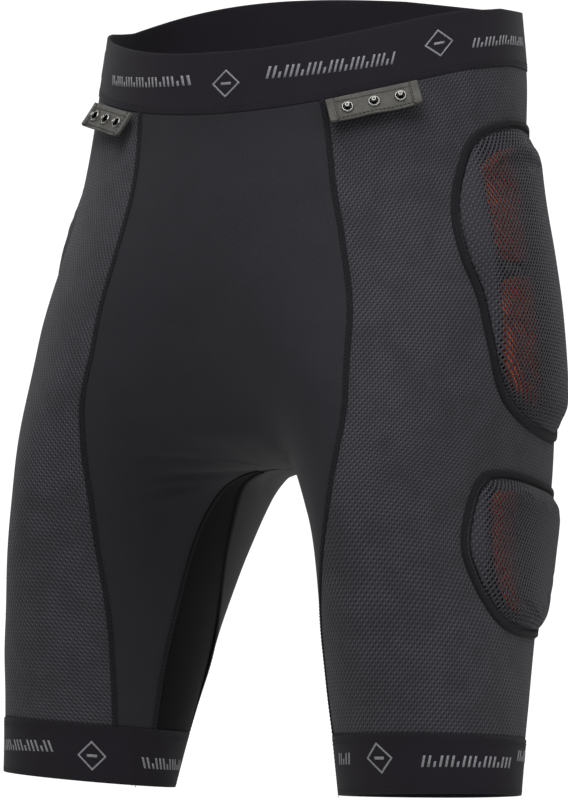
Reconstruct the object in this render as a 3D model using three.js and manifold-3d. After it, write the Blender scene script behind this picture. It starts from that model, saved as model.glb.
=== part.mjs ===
// Padded impact shorts, as worn: a high stretch body with foam pads held in mesh pockets on the hips,
// thighs and tailbone, an elastic waistband, two leg cuffs with grippers and two popper tapes.
//
// Millimetres, +Z up. The wearer faces -Y and the wearer's left is +X. The origin is the middle of the
// waist opening. Left pieces are built at +X, and right pieces are their mirror images.
//
// The body is one pants-shaped surface. A point on it is given by an angle round the body and a level:
// 0 degrees is the front, 90 the outer side, 180 the back, and on a leg -90 (or 270) is the inseam. The
// level is the distance below the waist. Every shell, pad and edge is an offset from that surface.

import * as THREE from 'three';
import { mergeVertices } from 'three/addons/utils/BufferGeometryUtils.js';
import Module from 'manifold-3d';

const wasm = await Module();
wasm.setup();

// ---- Driving dimensions -----------------------------------------------------------------------------

const RISE = 306;                 // waist to crotch, measured down the middle
const INSEAM = 219;               // crotch to hem
const WAIST_HALF_WIDTH = 149;
const HIP_HALF_WIDTH = 180;
const HEM_HALF_WIDTH = 58;        // half the width of one leg opening
const HEM_SPREAD = 138.5;         // middle of a leg opening, out from the middle of the body
const CROTCH_BRIDGE = 28;         // how softly the two legs run into each other
const WEB_REACH = 42;             // how far from the middle the web of cloth at the crotch reaches

const FRONT_DIP = 22;             // how far the front of the waist sits below its sides
const DIP_START = 32;             // how far forward of the middle the dip begins
const DIP_REACH = 88;             // from there to the front of the waist
const DIP_DEPTH = 220;            // level at which the dip has died out
const SIDE_DIP = 4.5;             // how far the waist dips at its sides, over the first of its height
const SIDE_DIP_DEPTH = 50;
const BACK_SKEW = 0.001;          // the back hangs lower on the left, by this times x times y
const SKEW_DEPTH = 200;           // depth at which that has died out

const BAND_HEIGHT = 45;
const BAND_THICKNESS = 1.8;
const PANEL_THICKNESS = 1.2;
const SEAM_GAP = 0.45;            // between neighbouring panels
const CUFF_HEIGHT = 36;
const CUFF_THICKNESS = 2;
const GRIPPER_THICKNESS = 0.9;
const GRIPPER_MARGIN = 6;         // cuff edge to gripper edge
const GRIPPER_GAP = 0.4;

const LAYER_GAP = 1.5;            // between a curved panel and the pad on it
const HIP_FOAM_THICKNESS = 7;
const THIGH_FOAM_THICKNESS = 6;
const TAIL_FOAM_THICKNESS = 8;
const FOAM_SPLIT = 6;             // half the gap between the upper and the lower hip foam
const COVER_THICKNESS = 0.8;
const COVER_GAP = 1.5;            // between foam and cover
const COVER_SHOULDER = 0.72;      // share of the pocket that is full height
const BINDING_WIDTH = 5;
const BINDING_THICKNESS = 1.8;

const TAPE_ANGLE = 39.75;         // where the popper tapes are centred, round from the front
const TAPE_TURN = 2.75;           // added to that on the left, taken off on the right
const TAPE_WIDTH = 61;
const TAPE_DROP = 18;
const TAPE_THICKNESS = 1.4;
const TAPE_CORNER = 3;
const TAPE_STAND = 20;            // degrees that the tape stands off the panel
const TAPE_CLEARANCE = 0.7;       // hinge line to band
const TAPE_MARGIN = 0.6;          // hinge line to the tape's upper edge
const STUD_COUNT = 3;
const STUD_PITCH = 17.5;
const STUD_RADIUS = 4;
const STUD_POST_RADIUS = 1.7;
const STUD_HEIGHT = 3.6;
const STUD_GAP = 0.3;
const RIVET_RADIUS = 3.6;
const RIVET_HEIGHT = 0.9;

// ---- Colours ----------------------------------------------------------------------------------------

const COLOURS = {
  band: 0x232225, stretch: 0x2e2d32, mesh: 0x3c3c41, cuff: 0x201f22, inner: 0x151515,
  foam: 0xc4552b, edge: 0x1c1b1e, tape: 0x4e4d49, silicone: 0x2a2a2c, metal: 0xb9b9b6,
};

function finish(colour, roughness, metalness = 0) {
  return new THREE.MeshStandardMaterial({ color: colour, roughness, metalness });
}

// ---- Girths of the body, from the waist to the hem ----------------------------------------------------

const downTheRise = (share) => RISE * share;
const downTheLeg = (share) => RISE + INSEAM * share;
const HEM_OUTER = HEM_SPREAD + HEM_HALF_WIDTH;

// Level below the waist, outer half width, middle of the leg, depths at the front and the back, tilt (how
// much the section rises towards the back) and lean (how much it rises outwards).
const GIRTHS = [
  [0, WAIST_HALF_WIDTH, 0, -117.5, 120.5, 0.136, -0.02],
  [downTheRise(0.163), WAIST_HALF_WIDTH + 5.5, 9, -120.5, 116.5, 0.115, 0.01],
  [downTheRise(0.363), WAIST_HALF_WIDTH + 8.5, 24, -133.5, 111, 0.075, 0.015],
  [downTheRise(0.562), HIP_HALF_WIDTH - 10, 44, -143.5, 107, 0.015, 0.02],
  [downTheRise(0.765), HIP_HALF_WIDTH, 73.5, -149, 98, -0.055, 0.025],
  [downTheRise(0.951), HIP_HALF_WIDTH, 106, -153, 86, -0.125, 0.035],
  [downTheLeg(0.232), HEM_OUTER - 20, 121.5, -158, 66, -0.175, 0.045],
  [downTheLeg(0.594), HEM_OUTER - 8, 130.5, -143.5, 22, -0.125, 0.025],
  [downTheLeg(1), HEM_OUTER, HEM_SPREAD, -123, -24, -0.095, 0.05],
].map(([level, outer, leg, front, back, tilt, lean]) => ({ level, outer, leg, front, back, tilt, lean }));

// Depth of the web that keeps the front and the seat close to upright down to the crotch.
const WEB = [
  { level: RISE - 90, depth: 0 },
  { level: RISE - 44, depth: 13.6 },
  { level: RISE - 26, depth: 21 },
  { level: RISE - 11, depth: 23.8 },
  { level: RISE - 3, depth: 19.8 },
  { level: RISE + 2, depth: 17.5 },
  { level: RISE + 14, depth: 8 },
  { level: RISE + 40, depth: 0 },
];

// Seams round the body, in degrees. twist is how far the garment has turned on the body.
const FRONT_SEAM = [
  { level: BAND_HEIGHT, angle: 27.4, twist: 2.4 },
  { level: downTheRise(0.31), angle: 25.6, twist: 6.3 },
  { level: downTheRise(0.49), angle: 23.5, twist: 8.8 },
  { level: downTheRise(0.686), angle: 18.4, twist: 10.4 },
  { level: downTheRise(0.846), angle: 9, twist: 11.8 },
  { level: downTheLeg(0.018), angle: -5.7, twist: 14.4 },
  { level: downTheLeg(0.247), angle: -21, twist: 15 },
  { level: downTheLeg(0.4), angle: -32.5, twist: 9.4 },
  { level: downTheLeg(0.566), angle: -44, twist: 1.5 },
  { level: downTheLeg(1), angle: -50, twist: 0 },
];
const BACK_SEAM = [
  { level: BAND_HEIGHT, angle: 140 },
  { level: downTheRise(0.3), angle: 148 },
  { level: downTheRise(0.82), angle: 149 },
  { level: downTheRise(0.98), angle: 160 },
  { level: downTheLeg(0.15), angle: 168 },
  { level: downTheLeg(1), angle: 168 },
];
// The inner thigh panel lies between these two, counted from the inseam: to the front and to the back.
const INNER_PANEL = [
  { level: RISE, toFront: 0.2, toBack: 0.2 },
  { level: RISE + 3, toFront: 0.5, toBack: 1 },
  { level: RISE + 12, toFront: 1.5, toBack: 5 },
  { level: downTheLeg(0.35), toFront: 4, toBack: 24 },
  { level: downTheLeg(0.6), toFront: 12, toBack: 34 },
  { level: downTheLeg(1), toFront: 17, toBack: 45 },
];

// Smooth curve through the rows of a table: a cubic between rows, its slope at a row being the mean of
// the slopes either side weighted by the other side's length.
function between(table, key, level) {
  const last = table.length - 1;
  const slope = (i) => (table[i + 1][key] - table[i][key]) / (table[i + 1].level - table[i].level);
  const slopeAt = (i) => {
    if (i === 0) return slope(0);
    if (i === last) return slope(last - 1);
    const before = table[i].level - table[i - 1].level;
    const after = table[i + 1].level - table[i].level;
    return (slope(i - 1) * after + slope(i) * before) / (before + after);
  };
  let i = 0;
  while (i < last - 1 && level > table[i + 1].level) i += 1;
  const span = table[i + 1].level - table[i].level;
  const t = Math.min(Math.max((level - table[i].level) / span, 0), 1);
  const t2 = t * t;
  const t3 = t2 * t;
  return table[i][key] * (2 * t3 - 3 * t2 + 1) + slopeAt(i) * span * (t3 - 2 * t2 + t)
    + table[i + 1][key] * (3 * t2 - 2 * t3) + slopeAt(i + 1) * span * (t3 - t2);
}

// ---- The body surface -------------------------------------------------------------------------------

const radians = THREE.MathUtils.degToRad;

function girth(level) {
  const value = (key) => between(GIRTHS, key, level);
  const front = value('front');
  const back = value('back');
  return {
    leg: value('leg'), halfWidth: value('outer') - value('leg'), middle: (front + back) / 2,
    halfDepth: (back - front) / 2, tilt: value('tilt'), lean: value('lean'),
    web: between(WEB, 'depth', level),
  };
}

// The section is an ellipse in y and in this measure of x, which never falls to nothing at the middle.
function spreadAt(x, g) {
  return Math.hypot(x, CROTCH_BRIDGE) + g.web * Math.exp(-((x / WEB_REACH) ** 2));
}

// The x that has a given spread, found by halving.
function acrossFor(spread, g) {
  let near = 0;
  let far = Math.max(spread, 0);
  const halvings = 40;
  for (let i = 0; i < halvings; i += 1) {
    const x = (near + far) / 2;
    if (spreadAt(x, g) < spread) near = x;
    else far = x;
  }
  return near;
}

// Angle at which the section meets the middle plane: -90 once the legs have parted.
function middleAngle(level) {
  const g = girth(level);
  const sine = Math.max(-1, (spreadAt(0, g) - g.leg) / g.halfWidth);
  return THREE.MathUtils.radToDeg(Math.asin(sine));
}

function heightOf(level, x, y, g) {
  const fade = Math.min(Math.max(1 - level / DIP_DEPTH, 0), 1);
  const dip = FRONT_DIP * fade * (Math.max(-y - DIP_START, 0) / DIP_REACH) ** 1.5;
  const sideFade = Math.min(Math.max(1 - level / SIDE_DIP_DEPTH, 0), 1);
  const sideDip = SIDE_DIP * sideFade * (x / WAIST_HALF_WIDTH) ** 6;
  return -level + g.tilt * y + g.lean * (Math.abs(x) - g.leg) - dip - sideDip;
}

// Zero on the surface, negative inside it.
function sectionValue(x, y, g) {
  const across = (spreadAt(x, g) - g.leg) / g.halfWidth;
  return across ** 2 + ((y - g.middle) / g.halfDepth) ** 2 - 1;
}

// The point at an angle and a level, moved outwards by offset.
function bodyPoint(angle, level, offset = 0) {
  const g = girth(level);
  const x = acrossFor(g.leg + g.halfWidth * Math.sin(radians(angle)), g);
  const y = g.middle - g.halfDepth * Math.cos(radians(angle));
  return offsetFrom(x, y, level, offset);
}

// The point of the seat at a distance from the middle plane, for what crosses the middle at the back.
function seatPoint(x, level, offset = 0) {
  const g = girth(level);
  const across = (spreadAt(x, g) - g.leg) / g.halfWidth;
  const y = g.middle + g.halfDepth * Math.sqrt(Math.max(1 - across ** 2, 0));
  return offsetFrom(x, y, level, offset);
}

function offsetFrom(x, y, level, offset) {
  const step = 0.5;
  const g = girth(level);
  const above = girth(level - step);
  const below = girth(level + step);
  const perLevel = (sectionValue(x, y, below) - sectionValue(x, y, above)) / (2 * step);
  const drop = (heightOf(level + step, x, y, below) - heightOf(level - step, x, y, above)) / (2 * step);
  const alongY = (heightOf(level, x, y + step, g) - heightOf(level, x, y - step, g)) / (2 * step);
  const gradX = (sectionValue(x + step, y, g) - sectionValue(x - step, y, g)) / (2 * step);
  const gradY = (sectionValue(x, y + step, g) - sectionValue(x, y - step, g)) / (2 * step);
  const normal = new THREE.Vector3(
    Math.abs(x) < 0.01 ? 0 : gradX - perLevel * g.lean * Math.sign(x) / drop,
    gradY - perLevel * alongY / drop,
    perLevel / drop,
  ).normalize();
  return new THREE.Vector3(x, y, heightOf(level, x, y, g)).addScaledVector(normal, offset);
}

function bodyNormal(angle, level) {
  return bodyPoint(angle, level, 1).sub(bodyPoint(angle, level)).normalize();
}

// ---- Turning grids of points into closed solids -------------------------------------------------------

const SNAP = 1000;                // points are rounded to a thousandth, so that shared edges meet exactly

function closedGeometry(points, faces) {
  const position = new Float32Array(points.length * 3);
  points.forEach((p, i) => {
    position.set([p.x, p.y, p.z].map((v) => Math.round(v * SNAP) / SNAP), i * 3);
  });
  const geometry = new THREE.BufferGeometry();
  geometry.setAttribute('position', new THREE.BufferAttribute(position, 3));
  geometry.setIndex(faces.flat());
  return outward(mergeVertices(geometry, 1e-4));
}

// Turns the faces round if the enclosed volume comes out negative.
function outward(geometry) {
  const position = geometry.attributes.position;
  const index = geometry.index.array;
  const corner = [new THREE.Vector3(), new THREE.Vector3(), new THREE.Vector3()];
  let volume = 0;
  for (let i = 0; i < index.length; i += 3) {
    corner.forEach((c, k) => c.fromBufferAttribute(position, index[i + k]));
    volume += corner[0].dot(corner[1].cross(corner[2]));
  }
  if (volume < 0) {
    for (let i = 0; i < index.length; i += 3) [index[i], index[i + 1]] = [index[i + 1], index[i]];
  }
  return geometry;
}

// A sheet with an inner and an outer face. point(column, row, face) gives the corners; face is 0 or 1.
function sheetSolid(columns, rows, point, ringed = false) {
  const points = [];
  const faces = [];
  const across = ringed ? columns : columns + 1;
  const id = (c, r, face) => (r * across + (c % across)) * 2 + face;
  for (let r = 0; r <= rows; r += 1) {
    for (let c = 0; c < across; c += 1) points.push(point(c, r, 0), point(c, r, 1));
  }
  const quad = (a, b, c, d) => faces.push([a, b, c], [a, c, d]);
  for (let r = 0; r < rows; r += 1) {
    for (let c = 0; c < columns; c += 1) {
      quad(id(c, r, 1), id(c + 1, r, 1), id(c + 1, r + 1, 1), id(c, r + 1, 1));
      quad(id(c, r, 0), id(c, r + 1, 0), id(c + 1, r + 1, 0), id(c + 1, r, 0));
    }
    if (!ringed) {
      quad(id(0, r, 0), id(0, r, 1), id(0, r + 1, 1), id(0, r + 1, 0));
      quad(id(columns, r, 1), id(columns, r, 0), id(columns, r + 1, 0), id(columns, r + 1, 1));
    }
  }
  for (let c = 0; c < columns; c += 1) {
    quad(id(c, 0, 0), id(c + 1, 0, 0), id(c + 1, 0, 1), id(c, 0, 1));
    quad(id(c, rows, 1), id(c + 1, rows, 1), id(c + 1, rows, 0), id(c, rows, 0));
  }
  return closedGeometry(points, faces);
}

// A round patch with an inner and an outer face. point(share, turn, face): share runs from 0 in the
// middle to 1 at the edge.
function patchSolid(rings, spokes, point) {
  const points = [point(0, 0, 0), point(0, 0, 1)];
  const faces = [];
  const id = (ring, spoke, face) => (ring === 0 ? face
    : 2 + ((ring - 1) * spokes + (spoke % spokes)) * 2 + face);
  for (let ring = 1; ring <= rings; ring += 1) {
    for (let s = 0; s < spokes; s += 1) {
      for (const face of [0, 1]) points.push(point(ring / rings, s / spokes, face));
    }
  }
  for (let s = 0; s < spokes; s += 1) {
    faces.push([id(0, 0, 1), id(1, s, 1), id(1, s + 1, 1)], [id(0, 0, 0), id(1, s + 1, 0), id(1, s, 0)]);
    for (let ring = 1; ring < rings; ring += 1) {
      const [a, b, c, d] = [id(ring, s, 1), id(ring + 1, s, 1), id(ring + 1, s + 1, 1), id(ring, s + 1, 1)];
      faces.push([a, b, c], [a, c, d], [a - 1, c - 1, b - 1], [a - 1, d - 1, c - 1]);
    }
    const [top, next] = [id(rings, s, 1), id(rings, s + 1, 1)];
    faces.push([top, top - 1, next - 1], [top, next - 1, next]);
  }
  return closedGeometry(points, faces);
}

// Lets the back of the garment down on the left and up on the right; the front stays where it is.
function askew(geometry) {
  const position = geometry.attributes.position;
  for (let i = 0; i < position.count; i += 1) {
    const [x, y, z] = [position.getX(i), position.getY(i), position.getZ(i)];
    const fade = Math.min(Math.max(1 + z / SKEW_DEPTH, 0), 1);
    position.setZ(i, Math.round((z - BACK_SKEW * x * Math.max(y, 0) * fade) * SNAP) / SNAP);
  }
  return geometry;
}

function mirrored(geometry) {
  const copy = geometry.clone();
  copy.scale(-1, 1, 1);
  return outward(copy);
}

// Joins solids that share a face.
function joined(geometries) {
  const solid = (geometry) => new wasm.Manifold(new wasm.Mesh({
    numProp: 3,
    vertProperties: new Float32Array(geometry.attributes.position.array),
    triVerts: new Uint32Array(geometry.index.array),
  }));
  const mesh = geometries.map(solid).reduce((whole, piece) => whole.add(piece)).getMesh();
  const geometry = new THREE.BufferGeometry();
  geometry.setAttribute('position', new THREE.BufferAttribute(new Float32Array(mesh.vertProperties), 3));
  geometry.setIndex(Array.from(mesh.triVerts));
  return geometry;
}

// ---- Sewn shells --------------------------------------------------------------------------------------

const PANEL_TOP = BAND_HEIGHT + SEAM_GAP;
const CUFF_TOP = RISE + INSEAM - CUFF_HEIGHT;
const HEM = RISE + INSEAM;
const RISE_ROW = 26;               // longest row of a panel above the crotch
const LEG_ROW = 22;                // and below it

// Level at which the section parts into two legs, found by halving.
function partingLevel() {
  let above = 0;
  let below = RISE + INSEAM;
  const halvings = 40;
  for (let i = 0; i < halvings; i += 1) {
    const level = (above + below) / 2;
    const g = girth(level);
    if (g.leg - g.halfWidth < spreadAt(0, g)) above = level;
    else below = level;
  }
  return below;
}

const CROTCH = partingLevel();
const BRIDGE_LEVELS = [CROTCH - 5, CROTCH - 0.6, CROTCH, CROTCH + 0.6, CROTCH + 3, CROTCH + 12];

// Levels of the rows of every long panel, closer together at the crotch.
function panelLevels() {
  const levels = [];
  const upperEnd = BRIDGE_LEVELS[0];
  const lowerStart = BRIDGE_LEVELS.at(-1);
  const riseRows = Math.ceil((upperEnd - PANEL_TOP) / RISE_ROW);
  for (let i = 0; i < riseRows; i += 1) levels.push(PANEL_TOP + (upperEnd - PANEL_TOP) * i / riseRows);
  levels.push(...BRIDGE_LEVELS);
  const legRows = Math.ceil((CUFF_TOP - SEAM_GAP - lowerStart) / LEG_ROW);
  for (let i = 1; i <= legRows; i += 1) {
    levels.push(lowerStart + (CUFF_TOP - SEAM_GAP - lowerStart) * i / legRows);
  }
  return levels;
}

const LEVELS = panelLevels();
const LEG_LEVELS = LEVELS.filter((level) => level > CROTCH + 1);
const frontSeam = (level, side) => between(FRONT_SEAM, 'angle', level)
  + side * between(FRONT_SEAM, 'twist', level);
const backSeam = (level) => between(BACK_SEAM, 'angle', level);
const innerFront = (level) => -90 + between(INNER_PANEL, 'toFront', level);
const innerBack = (level) => 270 - between(INNER_PANEL, 'toBack', level);

// A length along the section, turned into degrees at that level.
function degreesFor(length, angle, level) {
  const step = 2;
  return step * length / bodyPoint(angle, level).distanceTo(bodyPoint(angle + step, level));
}

// A panel between two seams; from and to give its edges at a level.
function panel(columns, levels, from, to) {
  return sheetSolid(columns, levels.length - 1, (column, row, face) => {
    const level = levels[row];
    const angle = THREE.MathUtils.lerp(from(level), to(level), column / columns);
    return bodyPoint(angle, level, face * PANEL_THICKNESS);
  });
}

const seamShare = (angle, level) => degreesFor(SEAM_GAP / 2, angle, level);

function frontHalf(side) {
  const columns = 5;
  const from = (level) => Math.max(middleAngle(level), innerFront(level) + seamShare(innerFront(level), level));
  const to = (level) => frontSeam(level, side) - seamShare(frontSeam(level, side), level);
  const half = panel(columns, LEVELS, from, to);
  return side > 0 ? half : mirrored(half);
}

function seatHalf(side) {
  const columns = 5;
  const from = (level) => backSeam(level) + seamShare(backSeam(level), level);
  const to = (level) => Math.min(180 - middleAngle(level), innerBack(level) - seamShare(innerBack(level), level));
  const half = panel(columns, LEVELS, from, to);
  return side > 0 ? half : mirrored(half);
}

function sidePanel(side) {
  const columns = 12;
  const from = (level) => frontSeam(level, side) + seamShare(frontSeam(level, side), level);
  const to = (level) => backSeam(level) - seamShare(backSeam(level), level);
  const shell = panel(columns, LEVELS, from, to);
  return side > 0 ? shell : mirrored(shell);
}

function innerThighPanel(side) {
  const columns = 4;
  const from = (level) => innerBack(level) - 360 + seamShare(innerBack(level), level);
  const to = (level) => innerFront(level) - seamShare(innerFront(level), level);
  const shell = panel(columns, LEG_LEVELS, from, to);
  return side > 0 ? shell : mirrored(shell);
}

// The waistband goes right round: along the left side from the front to the back, then up the right.
function waistband() {
  const halfColumns = 20;
  const rows = 2;
  return sheetSolid(halfColumns * 2, rows, (column, row, face) => {
    const level = BAND_HEIGHT * row / rows;
    const share = column <= halfColumns ? column / halfColumns : 2 - column / halfColumns;
    const start = middleAngle(level);
    const point = bodyPoint(start + share * (180 - 2 * start), level, face * BAND_THICKNESS);
    if (column > halfColumns) point.x *= -1;
    return point;
  }, true);
}

// A band round one leg between two levels and two offsets.
function legRing(side, top, bottom, innerOffset, outerOffset) {
  const columns = 28;
  const ring = sheetSolid(columns, 1, (column, row, face) => {
    const angle = -90 + 360 * column / columns;
    return bodyPoint(angle, row === 0 ? top : bottom, face === 0 ? innerOffset : outerOffset);
  }, true);
  return side > 0 ? ring : mirrored(ring);
}

const cuff = (side) => legRing(side, CUFF_TOP, HEM, 0, CUFF_THICKNESS);
const gripper = (side) => legRing(
  side, CUFF_TOP + GRIPPER_MARGIN, HEM - GRIPPER_MARGIN, -GRIPPER_GAP - GRIPPER_THICKNESS, -GRIPPER_GAP);

// ---- Pads, pocket covers and bound edges ----------------------------------------------------------------

// Outlines are closed smooth curves through a few points: an angle (or a distance from the middle, on the
// tailbone pad) and a level.
const HIP_TOP = BAND_HEIGHT + 43;
const HIP_BOTTOM = RISE - 21;
const hipLevel = (share) => THREE.MathUtils.lerp(HIP_TOP, HIP_BOTTOM, share);
const HIP_POCKET = [
  [88, hipLevel(0)], [77, hipLevel(0.03)], [71, hipLevel(0.14)], [67.5, hipLevel(0.29)], [68.3, hipLevel(0.43)],
  [72, hipLevel(0.57)], [74, hipLevel(0.72)], [78.5, hipLevel(0.88)], [85, hipLevel(0.945)],
  [98, hipLevel(0.995)], [122, hipLevel(1)], [138, hipLevel(0.88)], [142, hipLevel(0.55)],
  [138, hipLevel(0.22)], [128, hipLevel(0.06)], [108, hipLevel(0)],
];
const HIP_SPLIT = hipLevel(0.478);
const HIP_FOAM_UPPER = [
  [88, hipLevel(0.07)], [77.5, hipLevel(0.13)], [74.5, hipLevel(0.24)], [72.8, hipLevel(0.39)],
  [82, HIP_SPLIT - FOAM_SPLIT], [108, HIP_SPLIT - FOAM_SPLIT], [128, HIP_SPLIT - FOAM_SPLIT],
  [134, hipLevel(0.36)], [131, hipLevel(0.2)], [124, hipLevel(0.12)], [106, hipLevel(0.07)],
];
const HIP_FOAM_LOWER = [
  [84, HIP_SPLIT + FOAM_SPLIT], [76.5, hipLevel(0.56)], [77, hipLevel(0.7)], [79.5, hipLevel(0.83)],
  [86, hipLevel(0.905)], [103, hipLevel(0.95)], [122, hipLevel(0.94)], [132, hipLevel(0.84)],
  [135, hipLevel(0.58)], [128, HIP_SPLIT + FOAM_SPLIT], [106, HIP_SPLIT + FOAM_SPLIT],
];
const THIGH_TOP = RISE + 17;
const THIGH_BOTTOM = RISE + 112;
const THIGH_TURN = -5;            // degrees that the right thigh pocket is turned from the left one
const thighLevel = (share) => THREE.MathUtils.lerp(THIGH_TOP, THIGH_BOTTOM, share);
const THIGH_POCKET = [
  [88, thighLevel(0.01)], [78, thighLevel(0.05)], [74.5, thighLevel(0.12)], [72.6, thighLevel(0.22)],
  [70.8, thighLevel(0.36)], [69, thighLevel(0.57)], [73, thighLevel(0.75)], [76.5, thighLevel(0.84)],
  [82, thighLevel(0.93)], [89, thighLevel(0.98)], [106, thighLevel(1)], [134, thighLevel(0.95)],
  [150, thighLevel(0.79)], [157, thighLevel(0.5)], [154, thighLevel(0.24)], [140, thighLevel(0.03)],
  [108, thighLevel(0)],
];
const THIGH_FOAM = [
  [81.5, thighLevel(0.62)], [81, thighLevel(0.38)], [81.5, thighLevel(0.14)], [90, thighLevel(0.09)],
  [108, thighLevel(0.09)], [132, thighLevel(0.11)], [143, thighLevel(0.25)], [144, thighLevel(0.55)],
  [134, thighLevel(0.82)], [108, thighLevel(0.9)], [91, thighLevel(0.88)],
];
const TAIL_TOP = BAND_HEIGHT + 27;
const TAIL_BOTTOM = RISE - 104;
const TAIL_HALF_WIDTH = 43;
const tailLevel = (share) => THREE.MathUtils.lerp(TAIL_TOP, TAIL_BOTTOM, share);
const TAIL_POCKET = [
  [0, tailLevel(0)], [TAIL_HALF_WIDTH * 0.72, tailLevel(0.03)], [TAIL_HALF_WIDTH, tailLevel(0.22)],
  [TAIL_HALF_WIDTH * 0.84, tailLevel(0.58)], [TAIL_HALF_WIDTH * 0.44, tailLevel(0.92)], [0, tailLevel(1)],
  [-TAIL_HALF_WIDTH * 0.44, tailLevel(0.92)], [-TAIL_HALF_WIDTH * 0.84, tailLevel(0.58)],
  [-TAIL_HALF_WIDTH, tailLevel(0.22)], [-TAIL_HALF_WIDTH * 0.72, tailLevel(0.03)],
];

function outlineCurve(points) {
  const curve = new THREE.CatmullRomCurve3(points.map(([u, v]) => new THREE.Vector3(u, v, 0)), true);
  const middle = points.reduce((sum, [u, v]) => sum.add(new THREE.Vector2(u, v)), new THREE.Vector2());
  middle.divideScalar(points.length);
  return { curve, middle };
}

// How far out a spot of a pocket is: 0 in its middle, 1 on its outline.
function shareInside(outline, u, v) {
  const samples = 90;
  const turn = Math.atan2(v - outline.middle.y, u - outline.middle.x);
  const distance = Math.hypot(u - outline.middle.x, v - outline.middle.y);
  let nearest = Infinity;
  let reach = 1;
  for (let i = 0; i < samples; i += 1) {
    const p = outline.curve.getPoint(i / samples);
    const other = Math.atan2(p.y - outline.middle.y, p.x - outline.middle.x);
    const apart = Math.abs(Math.atan2(Math.sin(other - turn), Math.cos(other - turn)));
    if (apart < nearest) {
      nearest = apart;
      reach = Math.hypot(p.x - outline.middle.x, p.y - outline.middle.y);
    }
  }
  return distance / reach;
}

const POCKET_SPOKES = 24;
const PAD_FLOOR = PANEL_THICKNESS + LAYER_GAP;

// Height of the underside of a pocket cover above the body: full in the middle, down to the panel at the
// edge along a quarter of a cosine.
function coverHeight(share, foamThickness) {
  const fall = Math.min(Math.max((share - COVER_SHOULDER) / (1 - COVER_SHOULDER), 0), 1);
  return PAD_FLOOR + (foamThickness + COVER_GAP) * Math.cos(fall * Math.PI / 2);
}

// A foam block: its outline drawn in from the pocket's, its top kept under the cover.
function foam(points, pocketPoints, thickness, place) {
  const rings = 4;
  const spokes = 16;
  const edgeShare = 0.6;          // thickness left at the foam's bevelled edge
  const outline = outlineCurve(points);
  const pocket = outlineCurve(pocketPoints);
  return patchSolid(rings, spokes, (share, turn, face) => {
    const edge = outline.curve.getPoint(turn);
    const u = THREE.MathUtils.lerp(outline.middle.x, edge.x, share);
    const v = THREE.MathUtils.lerp(outline.middle.y, edge.y, share);
    const full = thickness * (share === 1 ? edgeShare : 1);
    const room = coverHeight(shareInside(pocket, u, v), thickness) - COVER_GAP - PAD_FLOOR;
    return place(u, v, PAD_FLOOR + face * Math.max(Math.min(full, room), 1));
  });
}

function pocketCover(points, thickness, place) {
  const spokes = POCKET_SPOKES;
  const shares = [0, 0.25, 0.5, COVER_SHOULDER, 0.81, 0.89, 0.95, 0.985];
  const outline = outlineCurve(points);
  return patchSolid(shares.length - 1, spokes, (step, turn, face) => {
    const share = shares[Math.round(step * (shares.length - 1))];
    const edge = outline.curve.getPoint(turn);
    const u = THREE.MathUtils.lerp(outline.middle.x, edge.x, share);
    const v = THREE.MathUtils.lerp(outline.middle.y, edge.y, share);
    return place(u, v, coverHeight(share, thickness) + face * COVER_THICKNESS);
  });
}

// The bound edge lies just outside the cover, flat on the panel.
function binding(points, perUnit, place) {
  const spokes = POCKET_SPOKES;
  const outline = outlineCurve(points);
  return sheetSolid(spokes, 1, (column, row, face) => {
    const edge = outline.curve.getPoint(column / spokes);
    const away = new THREE.Vector2((edge.x - outline.middle.x) * perUnit, edge.y - outline.middle.y).normalize();
    const out = row * BINDING_WIDTH + SEAM_GAP;
    return place(edge.x + away.x * out / perUnit, edge.y + away.y * out, PAD_FLOOR + face * BINDING_THICKNESS);
  }, true);
}

// ---- Popper tapes -------------------------------------------------------------------------------------

// The tape is a flat plate that hangs from a hinge line under the waistband. In its own group X runs along
// the hinge line, Y points out of the tape's face and Z up the tape.
function tapeFrame(side) {
  const level = BAND_HEIGHT + 1;
  const angle = TAPE_ANGLE + side * TAPE_TURN;
  const normal = bodyNormal(angle, level);
  const hinge = bodyPoint(angle, level, BAND_THICKNESS + TAPE_CLEARANCE + TAPE_THICKNESS / 2);
  const along = bodyPoint(angle + 1, level).sub(bodyPoint(angle - 1, level)).normalize();
  const up = new THREE.Vector3().crossVectors(normal, along).normalize();
  if (up.z < 0) up.negate();
  const stand = radians(TAPE_STAND);
  const face = normal.clone().multiplyScalar(Math.cos(stand)).addScaledVector(up, Math.sin(stand));
  const rise = up.clone().multiplyScalar(Math.cos(stand)).addScaledVector(normal, -Math.sin(stand));
  for (const vector of [hinge, face, rise]) vector.x *= side;
  const line = new THREE.Vector3().crossVectors(face, rise).normalize();
  const group = new THREE.Group();
  group.position.copy(hinge);
  group.quaternion.setFromRotationMatrix(new THREE.Matrix4().makeBasis(line, face, rise));
  return group;
}

function tapePlate() {
  const half = TAPE_WIDTH / 2;
  const low = -TAPE_MARGIN - TAPE_DROP;
  const outline = new THREE.Shape();
  outline.moveTo(-half, -TAPE_MARGIN);
  outline.lineTo(-half, low + TAPE_CORNER);
  outline.lineTo(-half + TAPE_CORNER, low);
  outline.lineTo(half - TAPE_CORNER, low);
  outline.lineTo(half, low + TAPE_CORNER);
  outline.lineTo(half, -TAPE_MARGIN);
  const plate = new THREE.ExtrudeGeometry(outline, { depth: TAPE_THICKNESS, bevelEnabled: false });
  plate.rotateX(Math.PI / 2);
  plate.translate(0, TAPE_THICKNESS / 2, 0);
  return plate;
}

const LATHE_SEGMENTS = 14;

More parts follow.
